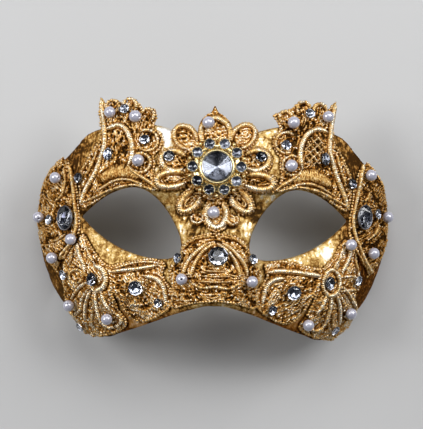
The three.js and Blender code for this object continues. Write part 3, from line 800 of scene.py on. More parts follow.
# %% [markdown]
# ## The lace pieces
# The ground of this lace is a net of knotted threads. Cells round scattered points, a Voronoi
# pattern, give just such a net: threads where two cells meet, and a hole or a knot in each cell.

# %% The net
WAVES = 9


def lumps(u, y, size, seed):
    """Soft random lumps, about size millimetres across, from -1 to 1."""
    rng = np.random.default_rng(seed)
    total = np.zeros(u.shape)
    for _ in range(WAVES):
        a, f = rng.uniform(0, 2 * math.pi, 2)
        k = 2 * math.pi / (size * rng.uniform(0.7, 1.5))
        total += np.sin(k * (u * math.cos(a) + y * math.sin(a)) + f)
    return total / 3.5


NET_CELLS = 64  # the pattern starts again after so many
NET_DRAWN = 1.35  # how much longer than wide its cells are
KNOTS_FROM = 0.52  # of a cell's chance, from 0 to 1
THREAD_WIDTH, KNOT_RADIUS = 0.4, 0.5  # in cells


def dome(t):
    """The height of a round ridge: 1 at its middle, 0 from t = 1 outwards."""
    return np.sqrt(np.clip(1 - t ** 2, 0, 1))


def net(u, y, pitch, seed, lean=0.0):
    """Height of a net, 0 to 1, at every spot. Its strands are drawn out along the lean."""
    rng = np.random.default_rng(seed)
    jitter = rng.uniform(-0.4, 0.4, (NET_CELLS, NET_CELLS, 2))
    chance = rng.random((NET_CELLS, NET_CELLS))
    c, s = math.cos(lean), math.sin(lean)
    along, aside = u * c + y * s, y * c - u * s
    sway = lumps(u, y, 7, seed + 50)
    u, y = along / NET_DRAWN + 0.5 * sway, aside + 0.5 * lumps(u, y, 5, seed + 60)
    cu, cy = np.floor(u / pitch).astype(int), np.floor(y / pitch).astype(int)
    first, second, kind = np.full(u.shape, FAR), np.full(u.shape, FAR), np.zeros(u.shape)
    for i in range(-2, 3):
        for j in range(-2, 3):
            a, b = (cu + i) % NET_CELLS, (cy + j) % NET_CELLS
            pu = (cu + i + 0.5 + jitter[a, b, 0] + 0.5 * ((cy + j) % 2)) * pitch
            d = np.hypot(u - pu, y - (cy + j + 0.5 + jitter[a, b, 1]) * pitch)
            closer = d < first
            second = np.where(closer, first, np.minimum(second, d))
            kind = np.where(closer, chance[a, b], kind)
            first = np.where(closer, d, first)
    thread = dome((second - first) / (THREAD_WIDTH * pitch))
    knot = dome(first / (KNOT_RADIUS * pitch)) * (kind > KNOTS_FROM)
    strand = np.abs(np.sin(math.pi * (y / (1.25 * pitch) + 0.35 * sway)))
    ropes = strand * smooth(0.5 + 1.2 * lumps(u, y, 9, seed + 70))
    twist = 0.82 + 0.18 * np.sin(2 * math.pi * (u + 0.6 * y) / (0.7 * pitch))
    highest = np.max([thread * (0.5 + 0.3 * kind), knot, 0.9 * ropes], axis=0)
    return np.clip(highest * twist, 0, 1)


# %% [markdown]
# A satin cord is a padded ridge, wrapped closely with thread. The ridge is part of the relief
# sheet, and the thread is added after it by Geometry Nodes.

# %% The relief of one piece
NET_LOW, NET_TOP = 0.55, 2.15
CORD_TOP, THREAD_OVER = 2.75, 0.5  # the thread stands so much over the ridge in a cord
PADDED_FROM, PADDED_HEIGHT = 4.0, 0.75  # cords wider than this are flatter leaves in long stitches
FULL_HEIGHT_FROM, BROAD_FROM = 2.2, 3.0
GAP_DEPTH, GAP_SHADE = 0.4, 0.75  # beside each cord the net is pressed down and darkened by painted shade
# painted shade: the net is dark under each cord, and darker towards the piece's rounded edges
SHADE_UNDER_CORD, LACE_EDGE_SHADE = 0.1, 0.45
EDGE_ROUNDING, EDGE_HEIGHT = 0.9, 0.3
GEM_CLEARANCE = 0.8
GLUE = 0.3
STEP = 0.31


def ramp(value, start, end):
    """Rises softly from 0 at start to 1 at end."""
    return smooth((value - start) / (end - start))


def spotted(spots, u, y):
    """How much paler each place is for soft spots of u, y, spread across and up, and gain."""
    total = np.zeros(u.shape)
    for at_u, at_y, wide, tall, gain in spots:
        total += gain * np.exp(-((u - at_u) / wide) ** 2 - ((y - at_y) / tall) ** 2)
    return total


def lace_relief(cords, seed, lean, painted_light_and_tone, spots=(), pitch=1.18):
    def front(u, y, depth_in):
        grain = net(u, y, pitch, seed, lean)
        height = NET_LOW + (NET_TOP - NET_LOW) * grain
        # the net is pale on the tops of its threads and dark in its pits: painted highlight and painted
        # shade, with some real patina in the pits
        worn = 1.6 * grain ** 2.1 - 0.15 + painted_light_and_tone + 0.1 * lumps(u, y, 8, seed + 80)
        worn = worn + spotted(spots, u, y)
        free = ramp(room(u, y), 0, GEM_CLEARANCE)
        for width, path, _ in cords:
            across = across_cord(width, path, u, y)
            broad = np.max(width)
            tall = (CORD_TOP - THREAD_OVER - NET_LOW) * min(1, broad / FULL_HEIGHT_FROM)
            tall *= PADDED_HEIGHT if broad >= PADDED_FROM else 1
            fade = 0.5 if broad < BROAD_FROM else 0.25
            gap = ramp(across, 0.9, 1.1) * (1 - ramp(across, 1.1, 1.1 + fade))
            ridge = (NET_LOW + tall * dome(across)) * (across < 1)
            height = np.maximum(height - GAP_DEPTH * gap, ridge * free)
            # painted shade: dark under the cord and in the gap beside it
            worn = np.where(across < 1.05, SHADE_UNDER_CORD, worn * (1 - GAP_SHADE * gap))
        height = np.where(room(u, y) < 0.15, np.minimum(height, NET_TOP - 0.5), height)
        round_off = dome(1 - np.clip(depth_in / EDGE_ROUNDING, 0, 1))
        height = GLUE + (height - GLUE) * np.maximum(round_off, EDGE_HEIGHT)
        # painted shade towards the rounded edge
        return height, {"worn": worn * (LACE_EDGE_SHADE + (1 - LACE_EDGE_SHADE) * round_off)}
    return front


def glued_back(u, y, depth_in):
    return np.full(u.shape, GLUE)


# %% [markdown]
# ### Stitches by Geometry Nodes
# The wrapping thread repeats thousands of times along the cords. A node tree makes it: the cord's
# path is cut into even steps, and a small arched stitch is set on each, turned along the path and
# square to the face. The path carries the face's normal and the cord's width as named values.

# %% One stitch
STITCH_SIDES, STITCH_ROWS = 6, 6
SWELL, SLANT, HALF_THREAD = 0.15, 0.16, 0.62
# how dark a stitch's feet are painted: painted shade
STITCH_FOOT_SHADE = 0.15
KNOT_SIDES = 6


def stitch_shape(name, gain, power):
    """An arch across the cord: y from -1 to 1, z from 0 to 1, x half a step either way. Its crest is
    painted paler by gain than its feet, painted highlight over painted shade, and a low power
    spreads that down its sides."""
    points, worn, faces = [], [], []
    sides, steps = STITCH_SIDES, STITCH_ROWS
    for i in range(steps + 1):
        a = math.pi * i / steps
        for k in range(sides):
            b = 2 * math.pi * k / sides
            out, slant = 1 + SWELL * math.cos(b), SLANT * math.cos(a)
            points.append((HALF_THREAD * math.sin(b) + slant, math.cos(a) * out, math.sin(a) * out - 0.1))
            crest = max(0.0, math.sin(a)) ** power * max(0.0, math.cos(b)) ** 0.65
            worn.append(STITCH_FOOT_SHADE + gain * crest)
    for i in range(steps):
        for k in range(sides):
            m = (k + 1) % sides
            faces.append((i * sides + k, (i + 1) * sides + k, (i + 1) * sides + m, i * sides + m))
    faces.append(tuple(range(sides)))
    faces.append(tuple(range(steps * sides, (steps + 1) * sides))[::-1])
    return build_mesh(name, points, faces, {"worn": worn})


def circle_points(r, z, sides, turn=0.0):
    """Points round a circle at height z, turned by so many of its steps."""
    angles = [2 * math.pi * (k + turn) / sides for k in range(sides)]
    return [(r * math.cos(a), r * math.sin(a), z) for a in angles]


def knot_shape():
    """A small round knot, for the edges of the lace."""
    sides = KNOT_SIDES
    upper, lower = circle_points(0.85, 0.5, sides), circle_points(0.9, -0.35, sides, 0.5)
    points = [(0, 0, 1)] + upper + lower + [(0, 0, -1)]
    # painted light: the knot's top is paler and its underside darker
    worn = [0.8] + [0.55] * sides + [0.2] * sides + [0.1]
    faces = []
    for k in range(sides):
        a, b = 1 + k, 1 + (k + 1) % sides
        faces += [(0, a, b), (a, a + sides, b), (b, a + sides, b + sides)]
        faces.append((len(points) - 1, b + sides, a + sides))
    return build_mesh("knot", points, faces, {"worn": worn})


stitch = stitch_shape("stitch", 0.68, 1.3)
long_stitch = stitch_shape("long stitch", 0.44, 0.5)
knot = knot_shape()
for shape in (stitch, long_stitch, knot):
    scene.collection.objects.unlink(shape)
print("a stitch has", len(stitch.data.polygons), "faces, a knot", len(knot.data.polygons))

# %% The wrapping tree


def realized(tree, instances, finish, give):
    """Ends a tree: its instances become a mesh with a material."""
    real = add_node(tree, "GeometryNodeRealizeInstances", {0: instances})
    inputs = {"Geometry": real.outputs[0], "Material": finish}
    feed(tree, give, {"Geometry": add_node(tree, "GeometryNodeSetMaterial", inputs).outputs[0]})


def random_value(tree, low, high, seed):
    """A number from low to high, another for each stitch."""
    inputs = {2: low, 3: high, "Seed": seed}
    return add_node(tree, "FunctionNodeRandomValue", inputs, data_type="FLOAT").outputs[1]


def named_value(tree, name, kind="FLOAT"):
    return add_node(tree, "GeometryNodeInputNamedAttribute", {"Name": name}, data_type=kind).outputs[0]


def wrapping_tree():
    tree = bpy.data.node_groups.new("wrap along a path", "GeometryNodeTree")
    take, give = open_sockets(
        tree,
        [("Geometry", "Geometry"), ("Shape", "Object"), ("Finish", "Material"), ("Step", "Float"),
         ("Length", "Float"), ("Height", "Float"), ("Unevenness", "Float"), ("Sway", "Float"),
         ("Patchiness", "Float"), ("Seed", "Int")],
        [("Geometry", "Geometry")])

    # even steps along the path
    curve = add_node(tree, "GeometryNodeMeshToCurve", {0: take["Geometry"]}).outputs[0]
    inputs = {"Curve": curve, "Length": take["Step"]}
    even = add_node(tree, "GeometryNodeResampleCurve", inputs, mode="LENGTH").outputs[0]
    spots = add_node(tree, "GeometryNodeCurveToPoints", {0: even}, mode="EVALUATED").outputs

    # each stitch stands square to the face and across the path, swayed a little
    inputs = {"Primary Axis": named_value(tree, "up", "FLOAT_VECTOR"), "Secondary Axis": spots["Tangent"]}
    square = add_node(tree, "FunctionNodeAxesToRotation", inputs, primary_axis="Z", secondary_axis="X")
    least = calc(tree, "MULTIPLY", take["Sway"], -1.0)
    sway = random_value(tree, least, take["Sway"], take["Seed"])
    angles = add_node(tree, "ShaderNodeCombineXYZ", {2: sway}).outputs[0]
    about_up = add_node(tree, "FunctionNodeEulerToRotation", {0: angles}).outputs[0]
    inputs = {0: square.outputs[0], 1: about_up}
    swayed = add_node(tree, "FunctionNodeRotateRotation", inputs, rotation_space="LOCAL")

    # its size follows the cord's width, unevenly
    least, most = (calc(tree, sign, 1.0, take["Unevenness"]) for sign in ("SUBTRACT", "ADD"))
    uneven = random_value(tree, least, most, take["Seed"])
    size = add_node(tree, "ShaderNodeCombineXYZ", {
        0: take["Length"], 1: calc(tree, "MULTIPLY", named_value(tree, "half"), uneven),
        2: calc(tree, "MULTIPLY", take["Height"], uneven)})

    # its tone is the cord's own, with a little chance
    least = calc(tree, "MULTIPLY", take["Patchiness"], -1.0)
    patchy = random_value(tree, least, take["Patchiness"], calc(tree, "ADD", take["Seed"], 7.0))
    toned = add_node(tree, "GeometryNodeStoreNamedAttribute", {
        "Geometry": spots["Points"], "Name": "tone",
        "Value": calc(tree, "ADD", named_value(tree, "tone"), patchy)})
    shape = add_node(tree, "GeometryNodeObjectInfo", {"Object": take["Shape"]}).outputs["Geometry"]
    copies = add_node(tree, "GeometryNodeInstanceOnPoints", {
        "Points": toned.outputs[0], "Instance": shape, "Rotation": swayed.outputs[0],
        "Scale": size.outputs[0]})
    realized(tree, copies.outputs[0], take["Finish"], give)
    return tree


WRAPPING = wrapping_tree()
print("the wrapping tree has", len(WRAPPING.nodes), "nodes")


def grown(base, tree, **values):
    """Runs a tree on an object and gives back a plain mesh object of the same name."""
    modifier = base.modifiers.new("grow", "NODES")
    modifier.node_group = tree
    for item in tree.interface.items_tree:
        if item.in_out == "INPUT" and item.name in values:
            modifier[item.identifier] = values[item.name]
    mesh = bpy.data.meshes.new_from_object(base.evaluated_get(bpy.context.evaluated_depsgraph_get()))
    name = base.name
    bpy.data.objects.remove(base)
    mesh.name = name
    piece = bpy.data.objects.new(name, mesh)
    scene.collection.objects.link(piece)
    return piece


def path_object(name, runs):
    """Edges along the runs; each run has rows of width, tone, u, y and lift."""
    points, edges, up, half, tones = [], [], [], [], []
    for width, tone, u, y, lift in runs:
        start = len(points)
        points += list(on_face(u, y, lift))
        up += list(normals(np.interp(u, ARC, TURNS), y))
        half += list(width / 2 * MM)
        tones += list(tone)
        edges += [(start + i, start + i + 1) for i in range(len(u) - 1)]
    mesh = bpy.data.meshes.new(name)
    mesh.from_pydata([tuple(p) for p in points], edges, [])
    mesh.attributes.new("up", "FLOAT_VECTOR", "POINT").data.foreach_set("vector", np.ravel(up))
    mesh.attributes.new("half", "FLOAT", "POINT").data.foreach_set("value", half)
    mesh.attributes.new("tone", "FLOAT", "POINT").data.foreach_set("value", tones)
    made = bpy.data.objects.new(name, mesh)
    scene.collection.objects.link(made)
    return made


def clear_runs(width, path, tone, margin):
    """The stretches of a path that stay clear of every gem."""
    u, y = path[:, 0], path[:, 1]
    free = room(u, y) > margin
    wide, tones = cord_widths(width, path), widths(tone, path)
    runs, start = [], None
    for i, ok in enumerate(list(free) + [False]):
        if ok and start is None:
            start = i
        if not ok and start is not None:
            if i - start >= 3:
                runs.append((wide[start:i], tones[start:i], u[start:i], y[start:i]))
            start = None
    return runs


# %% [markdown]
# ### Dress the shell with the pieces
# One function makes any piece: its relief sheet, the stitches on its cords and the knots round
# its edge. Then all of them ride on the mask together and stand for the plain solid.

# %% Make a piece of lace
SATIN_FROM = 1.85  # cords narrower than this are rough twisted thread
CORD_KINDS = dict(  # how each kind of cord is wound; seed_step sets its random numbers apart
    cords=dict(shape=stitch, finish=CORD_GOLD, step=0.88, seed_step=0, Height=1.55 * MM,
               Unevenness=0.06, Sway=0.2, Patchiness=0.09),
    padding=dict(shape=long_stitch, finish=PADDING_GOLD, step=0.88, seed_step=3, Height=1.0 * MM,
                 Unevenness=0.07, Sway=0.16, Patchiness=0.06),
    threads=dict(shape=stitch, finish=CORD_GOLD, step=0.8, seed_step=2, Height=1.35 * MM,
                 Unevenness=0.3, Sway=0.45, Patchiness=0.14))
FEET_UP = 0.35  # a stitch stands at this share of the cord's height
UNDER_GEM, UNDER_END = 0.6, 0.9  # how far cords sink beside a gem and at their thin ends
EDGE_CORD, EDGE_STEP = 1.7, 1.5


def kind_of(cord):
    widest = np.max(cord[0])
    if widest < SATIN_FROM:
        return "threads"
    return "cords" if widest < PADDED_FROM else "padding"


def wrapped(name, cords, seed, shape, finish, step, seed_step, **values):
    """The winding of cords of one kind, as one object."""
    runs = []
    for width, path, tone in cords:
        for w, shade, u, y in clear_runs(width, path, tone, -GEM_CLEARANCE):
            under = UNDER_GEM * (1 - ramp(room(u, y), 0, GEM_CLEARANCE)) + UNDER_END * (1 - w / np.max(w))
            runs.append((w, shade, u, y, NET_LOW + (CORD_TOP - NET_LOW) * FEET_UP - under))
    return grown(path_object(name, runs), WRAPPING, Shape=shape, Finish=finish, Step=step * MM,
                 Length=step * MM, Seed=seed + seed_step, **values)


def edge_knots(name, paths, seed):
    """Small knots along the edges of a piece."""
    runs = []
    for path in paths:
        for w, shade, u, y in clear_runs(EDGE_CORD, path, 0.0, 0.5):
            runs.append((w, shade, u, y, 0.9 + 0.35 * lumps(u, y, 4, seed + 90)))
    return grown(path_object(name, runs), WRAPPING, Shape=knot, Finish=NET_GOLD, Step=EDGE_STEP * MM,
                 Length=0.85 * MM, Height=0.7 * MM, Unevenness=0.45, Sway=0.5, Seed=seed + 1)


def lace_piece(node, edge, span, cords, knots, seed, lean=0.0, painted_light_and_tone=0.0, spots=()):
    """lean is the way the net's strands run. The value after it makes the whole piece paler or darker,
    as its tone and as painted light and shade, and spots paint places paler or darker.
    """
    sheet = relief_sheet(node + "_net", edge, span, lace_relief(cords, seed, lean, painted_light_and_tone, spots), glued_back,
                         STEP)
    sheet.data.materials.append(NET_GOLD)
    parts = [sheet]
    for kind, winding in CORD_KINDS.items():
        chosen = [cord for cord in cords if kind_of(cord) == kind]
        if chosen:
            parts.append(wrapped(f"{node}_{kind}", chosen, seed, **winding))
    parts.append(edge_knots(node + "_edge", knots, seed))
    for piece in parts:
        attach(piece, "root")
        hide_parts(node)
    print("triangles:", {o.name: sum(len(p.vertices) - 2 for p in o.data.polygons) for o in parts})


def span_of(path, margin=1.0):
    return ((path[:, 0].min() - margin, path[:, 0].max() + margin),
            (path[:, 1].min() - margin, path[:, 1].max() + margin))


def as_paths(cords, side):
    """Cords as drawn, with or without a tone as the third value, on the unrolled face."""
    return [(width, spline(flat(points, side, SEEN)), tone[0] if tone else 0.0)
            for width, points, *tone in cords]


def on_lace(spots, side):
    """Spots painted paler or darker, as drawn, on the unrolled face."""
    return [(*flat([spot[:2]], side, SEEN)[0], *spot[2:]) for spot in spots]


# %% The flower
petal_rims = [ring(*petal) for petal in PETALS]
all_petals = np.concatenate(petal_rims + [flat(TOP_PETAL)])


def outer_part(path, edge):
    """The points of a path that lie on a piece's outer edge."""
    return path[edge(path[:, 0], path[:, 1]) > -0.15]


flower_knots = [outer_part(path, flower_edge) for path in petal_rims]
lace_piece("lace_flower", flower_edge, span_of(all_petals, 2), flower_cords(), flower_knots, 3,
           spots=on_lace(PETAL_PAINTED_HIGHLIGHTS, 1))

# %% Both brows
HALVES = ((-1, "left"), (1, "right"))
RING_CORD = 1.7
HOLE_STRETCH = 1.25
BROW_OUTLINES = {where: outline_of(BROW_EDGE[where], side) for side, where in HALVES}
for side, where in HALVES:
    path = BROW_OUTLINES[where]
    holes = [ring(x, y, r, r * HOLE_STRETCH, side=side) for x, y, r in HORN_HOLES[where]]
    cords = as_paths(BROW_CORDS[where], side)
    cords += [(RING_CORD, ring(*values, side=side), 0.0) for values in BROW_RINGS]
    if where == "right":
        cords += as_paths(crossed_strands(LATTICE), side)
    lace_piece("lace_brow_" + where, outlined(path, holes), span_of(path), cords, [path], 11 + side,
               side * 1.1, spots=on_lace(BROW_PAINTED_SHADE[where], side))

# %% [markdown]
# The temple leaf wraps round the side, and its back edge is an arc seen from the side, given as
# heights above the table. Walking down the arch until it reaches that height finds each point.

# %% Both temples
# the temples are painted darker, the right one most: painted shade where the lamps reach less, and a more
# golden tone on the left
TEMPLE_SHADE_AND_TONE = {"left": -0.05, "right": -0.14}


def back_arc(side):
    """The temple leaf's back edge on the unrolled face."""
    turns = np.linspace(0.5, 1, 400)
    rows = []
    for y, z in spline(TEMPLE_BACK, gap=2):
        heights = face(turns, np.full(len(turns), y))[:, 2]
        rows.append((side * np.interp(turns[np.argmin(np.abs(heights - z))], TURNS, ARC), y))
    return np.array(rows)


for side, where in HALVES:
    front_edge, back_edge = spline(flat(TEMPLE_EDGE, side, SEEN)), back_arc(side)
    path = np.concatenate([front_edge, back_edge[::-1]])
    lace_piece("lace_temple_" + where, outlined(path), span_of(path), as_paths(TEMPLE_CORDS[where], side),
               [front_edge, back_edge], 21 + side, side * 0.5, TEMPLE_SHADE_AND_TONE[where])

# %% Both cheeks
CHEEK_OUTLINES = {where: outline_of(CHEEK_EDGE[where], side) for side, where in HALVES}
for side, where in HALVES:
    path = CHEEK_OUTLINES[where]
    cords = as_paths(CHEEK_CORDS + CHEEK_OWN_CORDS[where], side)
    cords += [(RING_CORD, ring(*values, side=side, seen=SEEN), 0.0) for values in CHEEK_RINGS[where]]
    # the cheeks are painted paler by 0.17: painted light, as the lamps sit towards the forehead
    lace_piece("lace_cheek_" + where, outlined(path), span_of(path), cords, [path], 31 + side, side * 0.9,
               0.17, on_lace(CHEEK_SPOTS[where], side))

# %% The nose
nose_path = outline_of(mirrored_loop(NOSE_EDGE, NOSE_TOP, NOSE_FOOT), seen=0.0)
nose_cords = as_paths(NOSE_CORDS, 1) + as_paths(NOSE_CORDS, -1)
nose_cords += [(1.1, spline(flat([(-half, y), (0, y - 0.3), (half, y)])), -0.05) for half, y in NOSE_BARS]
nose_cords.append((1.8, spline(flat(NOSE_WAVE)), 0.0))
lace_piece("lace_nose", outlined(nose_path), span_of(nose_path), nose_cords, [nose_path], 41, painted_light_and_tone=0.05)

# %% [markdown]
# ### The shell's own surface
# The leaf gets painted shade where it meets the lace and under it, painted highlights and shade in
# listed spots, and is browner towards the rims, towards the bottom and on the sides. Those places
# are worked out here as a value for every point, because they follow the shape.

# %% Make the shell
SHELL_STEP = 0.78
FRONT_ROUNDING, BACK_ROUNDING = 1.1, 0.9
DENTS = [(0.12, 9, 5), (0.07, 3.4, 6), (0.04, 1.9, 16)]  # height, size across and seed
HIGHEST = 0.12  # so that the leaf stays under the lace
lace_outlines = [*BROW_OUTLINES.values(), *CHEEK_OUTLINES.values(), nose_path]
PAINTED_LIGHT_AND_DARK_PATCHES = [  # u, y, spread across and up, and how much paler the leaf is painted there: the pale ones are painted highlights, the dark ones painted shade and darker patches of the leaf
    (-26, 43, 8, 7, 0.7), (30, 43, 9, 6, 0.12), (0, -1, 20, 11, -0.17), (60, -14, 12, 5, 0.3),
    (38, -20, 10, 3, 0.25), (-50, -17, 16, 5, -0.04), (-47, -45, 4, 8, 0.75), (48, -43, 4, 8, 0.4),
    (-15.8, -5, 1.8, 5, 0.3), (15.2, -4.4, 1.8, 5, 0.34), (-3, -5, 4, 3, 0.2), (-24, 10, 5, 4, -0.2),
    (19.5, 6, 4.5, 6, -0.4), (-11, -4, 2.4, 4, -0.2), (10.8, -3.6, 2.4, 4, -0.2), (-18, 3, 3, 4, -0.15)]
LEAF_WORN = 0.7  # where nothing makes it darker
LEFT_SIDE_BROWN, RIGHT_SIDE_BROWN = 0.52, 0.66


def rounded(depth_in, rounding):
    """How far an edge falls back where it is rounded."""
    return rounding * (1 - dome(1 - np.clip(depth_in / rounding, 0, 1)))


def shell_front(u, y, depth_in):
    lift = -rounded(depth_in, FRONT_ROUNDING)
    for height, size, seed in DENTS:
        lift = lift + height * lumps(u, y, size, seed)
    lift = np.minimum(lift, HIGHEST)
    close = np.abs(flower_edge(u, y))
    for path in lace_outlines:
        close = np.minimum(close, distance(path, u, y))
    # painted shade: the leaf darkens within 1.6 mm of the lace
    shade_by_lace = 1 - ramp(close, 0, 1.6)
    side = ramp(np.abs(u), 56, 80)
    low = ramp(-y, 40, 49)
    edge = 1 - ramp(depth_in, 0, 1.2)
    low_right = ramp(u, 62, 74) * ramp(-y, -10, 2)
    flaky = np.maximum(low_right, 0.4 * side)
    brown = np.where(u < 0, LEFT_SIDE_BROWN, RIGHT_SIDE_BROWN) * side
    worn = LEAF_WORN - 0.55 * shade_by_lace - brown - 0.12 * low - 0.2 * edge - 0.15 * flaky
    worn = worn + 0.13 * (1 - 0.7 * side) * lumps(u, y, 13, 7) + 0.08 * (1 - side) * lumps(u, y, 4, 8)
    # painted highlights and painted shade in listed spots
    worn = worn + spotted(PAINTED_LIGHT_AND_DARK_PATCHES, u, y)
    # painted shade: the leaf seen through the lace's holes is darkened
    shade_under_lace = (close > 0.8) & np.any([inside(path, u, y) for path in lace_outlines], axis=0)
    streaks = lumps(u * 4.5, y * 0.5, 6, 12)
    bridge = np.exp(-(u / 20) ** 4 - ((y - 2) / 13) ** 4)
    slanted = lumps((u - np.abs(u) / 6 * np.sign(y)) * 2.2, y * 0.5, 4, 13)
    slanted = slanted + lumps(u * 2.6, y * 0.8, 3, 14)
    worn = worn + 0.3 * side * streaks + 0.3 * bridge * slanted
    return lift, {"worn": worn * (1 - 0.75 * shade_under_lace), "flaky": flaky,
                  "glaze": np.minimum(0.85 * low + 0.6 * low_right + 0.4 * side, 1)}


def shell_back(u, y, depth_in):
    return -WALL + rounded(depth_in, BACK_ROUNDING) + 0.06 * lumps(u, y, 6, 9)


shell = relief_sheet("shell_leaf", shell_edge, ((-ARC[-1], ARC[-1]), (-60, 50)), shell_front, shell_back,
                     SHELL_STEP)
for vertex in shell.data.vertices:
    vertex.co.z = max(vertex.co.z, 0.0)
print("the shell has", len(shell.data.polygons), "faces")

# %% The leaf material
CREASE_SCALE, CREASE_HEIGHT = 340.0, 0.24
LEAF = dict(Pale=(1.0, 0.96, 0.82), Gold=(0.7, 0.49, 0.18), Rust=(0.34, 0.17, 0.036),
            Brown=(0.062, 0.029, 0.007))
PAINTED_GLARE, GLAZE = (1.0, 0.98, 0.93, 1), (1.0, 0.62, 0.3, 1)
DARK_PAPER, PALE_PAPER = (0.42, 0.35, 0.26, 1), (0.6, 0.53, 0.42, 1)


def creases(tree):
    """The wrinkles of the leaf."""
    inputs = {"Scale": CREASE_SCALE}
    return add_node(tree, "ShaderNodeGroup", inputs, node_tree=WRINKLES).outputs["Ridge"]


def leaf_worn(tree):
    """The mesh's own value, darker in the creases by painted shade, and paler in flecks where
    the leaf flakes, which are made bright as painted glints.
    """
    valleys = calc(tree, "MULTIPLY", calc(tree, "SUBTRACT", creases(tree), 0.75), 0.55)
    # flecks of leaf on the dark ground, brightened as painted glints
    flakes = stretch(tree, noise(tree, 1900.0, 2.0, 0.55, (1, 0.22, 0.8)), 0.46, 0.68, 0.0, 0.7)
    glints = calc(tree, "MULTIPLY", flakes, value_of(tree, "flaky"))
    return calc(tree, "ADD", calc(tree, "ADD", value_of(tree, "worn"), valleys), glints)


def leaf_material():
    """Gilding with creases on the front, and bare paper behind."""
    made = gilded("gold leaf on the shell", leaf_worn, 520.0, 0.6, 0.7, **LEAF)
    tree = made.node_tree
    shader = tree.nodes["Principled BSDF"]
    gold, gloss = (shader.inputs[key].links[0].from_socket for key in ("Base Color", "Roughness"))
    raised = shader.inputs["Normal"].links[0].from_node
    feed(tree, raised, {"Distance": CREASE_HEIGHT * MM, "Height": creases(tree)})
    # where the leaf is painted palest it turns near white: painted glare
    gold = mix(tree, stretch(tree, value_of(tree, "worn"), 1.0, 1.3), gold, PAINTED_GLARE)
    gold = mix(tree, value_of(tree, "glaze"), gold, GLAZE, "MULTIPLY")
    paper = mix(tree, noise(tree, 900.0), DARK_PAPER, PALE_PAPER)
    behind = stretch(tree, value_of(tree, "behind"), 0.55, 0.9)
    feed(tree, shader, {
        "Base Color": mix(tree, behind, gold, paper), "Roughness": calc(tree, "ADD", gloss, 0.12),
        "Metallic": stretch(tree, behind, 0, 1, 0.85, 0.0)})
    return made


shell.data.materials.append(leaf_material())
print("shell finish:", shell.data.materials[0].name)
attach(shell, "root")
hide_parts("shell")

# %% [markdown]
# ## Pearls
# Imitation pearls are lacquered beads: a grey lavender body with a hard shine. Each has a drill hole,
# which mostly hides against the lace. A lathed profile makes bead and hole in one closed body.

# %% Lathe any closed profile


def lathe(profile, sides):
    """Points and faces of a profile of radius and height turned round the z axis, pole to pole."""
    points = [(0, 0, profile[0][1])]
    for r, z in profile[1:-1]:
        points += circle_points(r, z, sides)
    points.append((0, 0, profile[-1][1]))
    faces, rows = [], len(profile) - 2
    last = 1 + (rows - 1) * sides
    for k in range(sides):
        m = (k + 1) % sides
        faces.append((0, 1 + m, 1 + k))
        for a in range(1, last, sides):
            faces.append((a + k, a + m, a + sides + m, a + sides + k))
        faces.append((last + k, last + m, len(points) - 1))
    return np.array(points), faces


def seat_frame(foot, lift):
    """Axes and place of something that stands lift above the face at foot."""
    x, y = foot
    turn = turn_at(x, y)
    out = normals(turn, y)
    across = np.array([1, 0, 0]) - out[0] * out
    across /= np.linalg.norm(across)
    origin = (face(turn, y) + out * lift + SHIFT) * MM
    return np.stack([across, np.cross(out, across), out]), origin


def placed(name, points, faces, foot, lift, turn=0.0, smooth_faces=True, values=None, nod=0.0):
    """Seats a shape on the face, turned about its own axis, and then nodding down by an angle."""
    axes, origin = seat_frame(foot, lift)
    turned = points @ np.array(Matrix.Rotation(turn, 3, "Z")).T @ np.array(Matrix.Rotation(nod, 3, "X")).T
    return build_mesh(name, turned * MM @ axes + origin, faces, values, smooth_faces)


# %% Make the pearls
HOLE, DRILLED = 0.5, 1.6  # the drill hole's radius and depth


def pearl_profile(across):
    r = across / 2
    angles = np.linspace(math.asin(HOLE / r) - math.pi / 2, math.pi / 2 - math.asin(HOLE / r), 21)
    ball = [(r * math.cos(a), r * math.sin(a)) for a in angles]
    foot = DRILLED - r
    return [(0, foot), (HOLE * 0.9, foot), *ball, (HOLE * 0.9, -foot), (0, -foot)]


def pearl_material():
    made, tree, shader = material("pearl lacquer", Roughness=0.32, IOR=1.7, Coat_Weight=1.0,
                                  Coat_Roughness=0.06, Coat_IOR=2.2)
    tint = mix(tree, noise(tree, 330.0), (0.34, 0.335, 0.415, 1), (0.5, 0.5, 0.585, 1))
    # the drill hole is painted near black: painted shade inside it
    tint = mix(tree, stretch(tree, value_of(tree, "drilled"), 0.2, 0.7), tint, (0.05, 0.04, 0.05, 1))
    feed(tree, shader, {"Base Color": tint})
    return made


PEARL_LACQUER = pearl_material()
HOLE_UP = {"pearl_nose_left"}  # the one whose drill hole looks at the viewer
PEARL_SIDES = 32
rng = np.random.default_rng(8)
for node, gem in gems.items():
    if node.startswith("pearl_"):
        points, faces = lathe(pearl_profile(gem["size"][0]), PEARL_SIDES)
        hole = np.zeros(len(points))
        hole[:1 + PEARL_SIDES] = hole[-1 - PEARL_SIDES:] = 1
        lean = math.radians(rng.uniform(70, 90))
        spin = rng.uniform(0, 2 * math.pi)
        turned = Matrix.Rotation(spin, 3, "Z") @ Matrix.Rotation(lean, 3, "X")
        if node in HOLE_UP:
            axes, _ = seat_frame(gem["foot"], 0)
            turned = Vector((0, 0, 1)).rotation_difference(Vector(axes[:, 2])).to_matrix()
        points = points @ np.array(turned).T
        bead = placed(node + "_bead", points, faces, gem["foot"], SEAT + gem["size"][0] / 2,
                      values={"drilled": hole})
        bead.data.materials.append(PEARL_LACQUER)
        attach(bead, "root")
        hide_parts(node)
print("pearls made:", sum(n.startswith("pearl_") for n in gems))

# %% [markdown]
# ## Crystals
# A foiled crystal is clear glass cut in facets, over a pointed back silvered like a mirror. The
# glass body and the silver cup behind it are two closed bodies, so light bends, bounces off the
# silver and comes back in dark and bright wedges, as it does in the real stone.

# %% Glass and silver


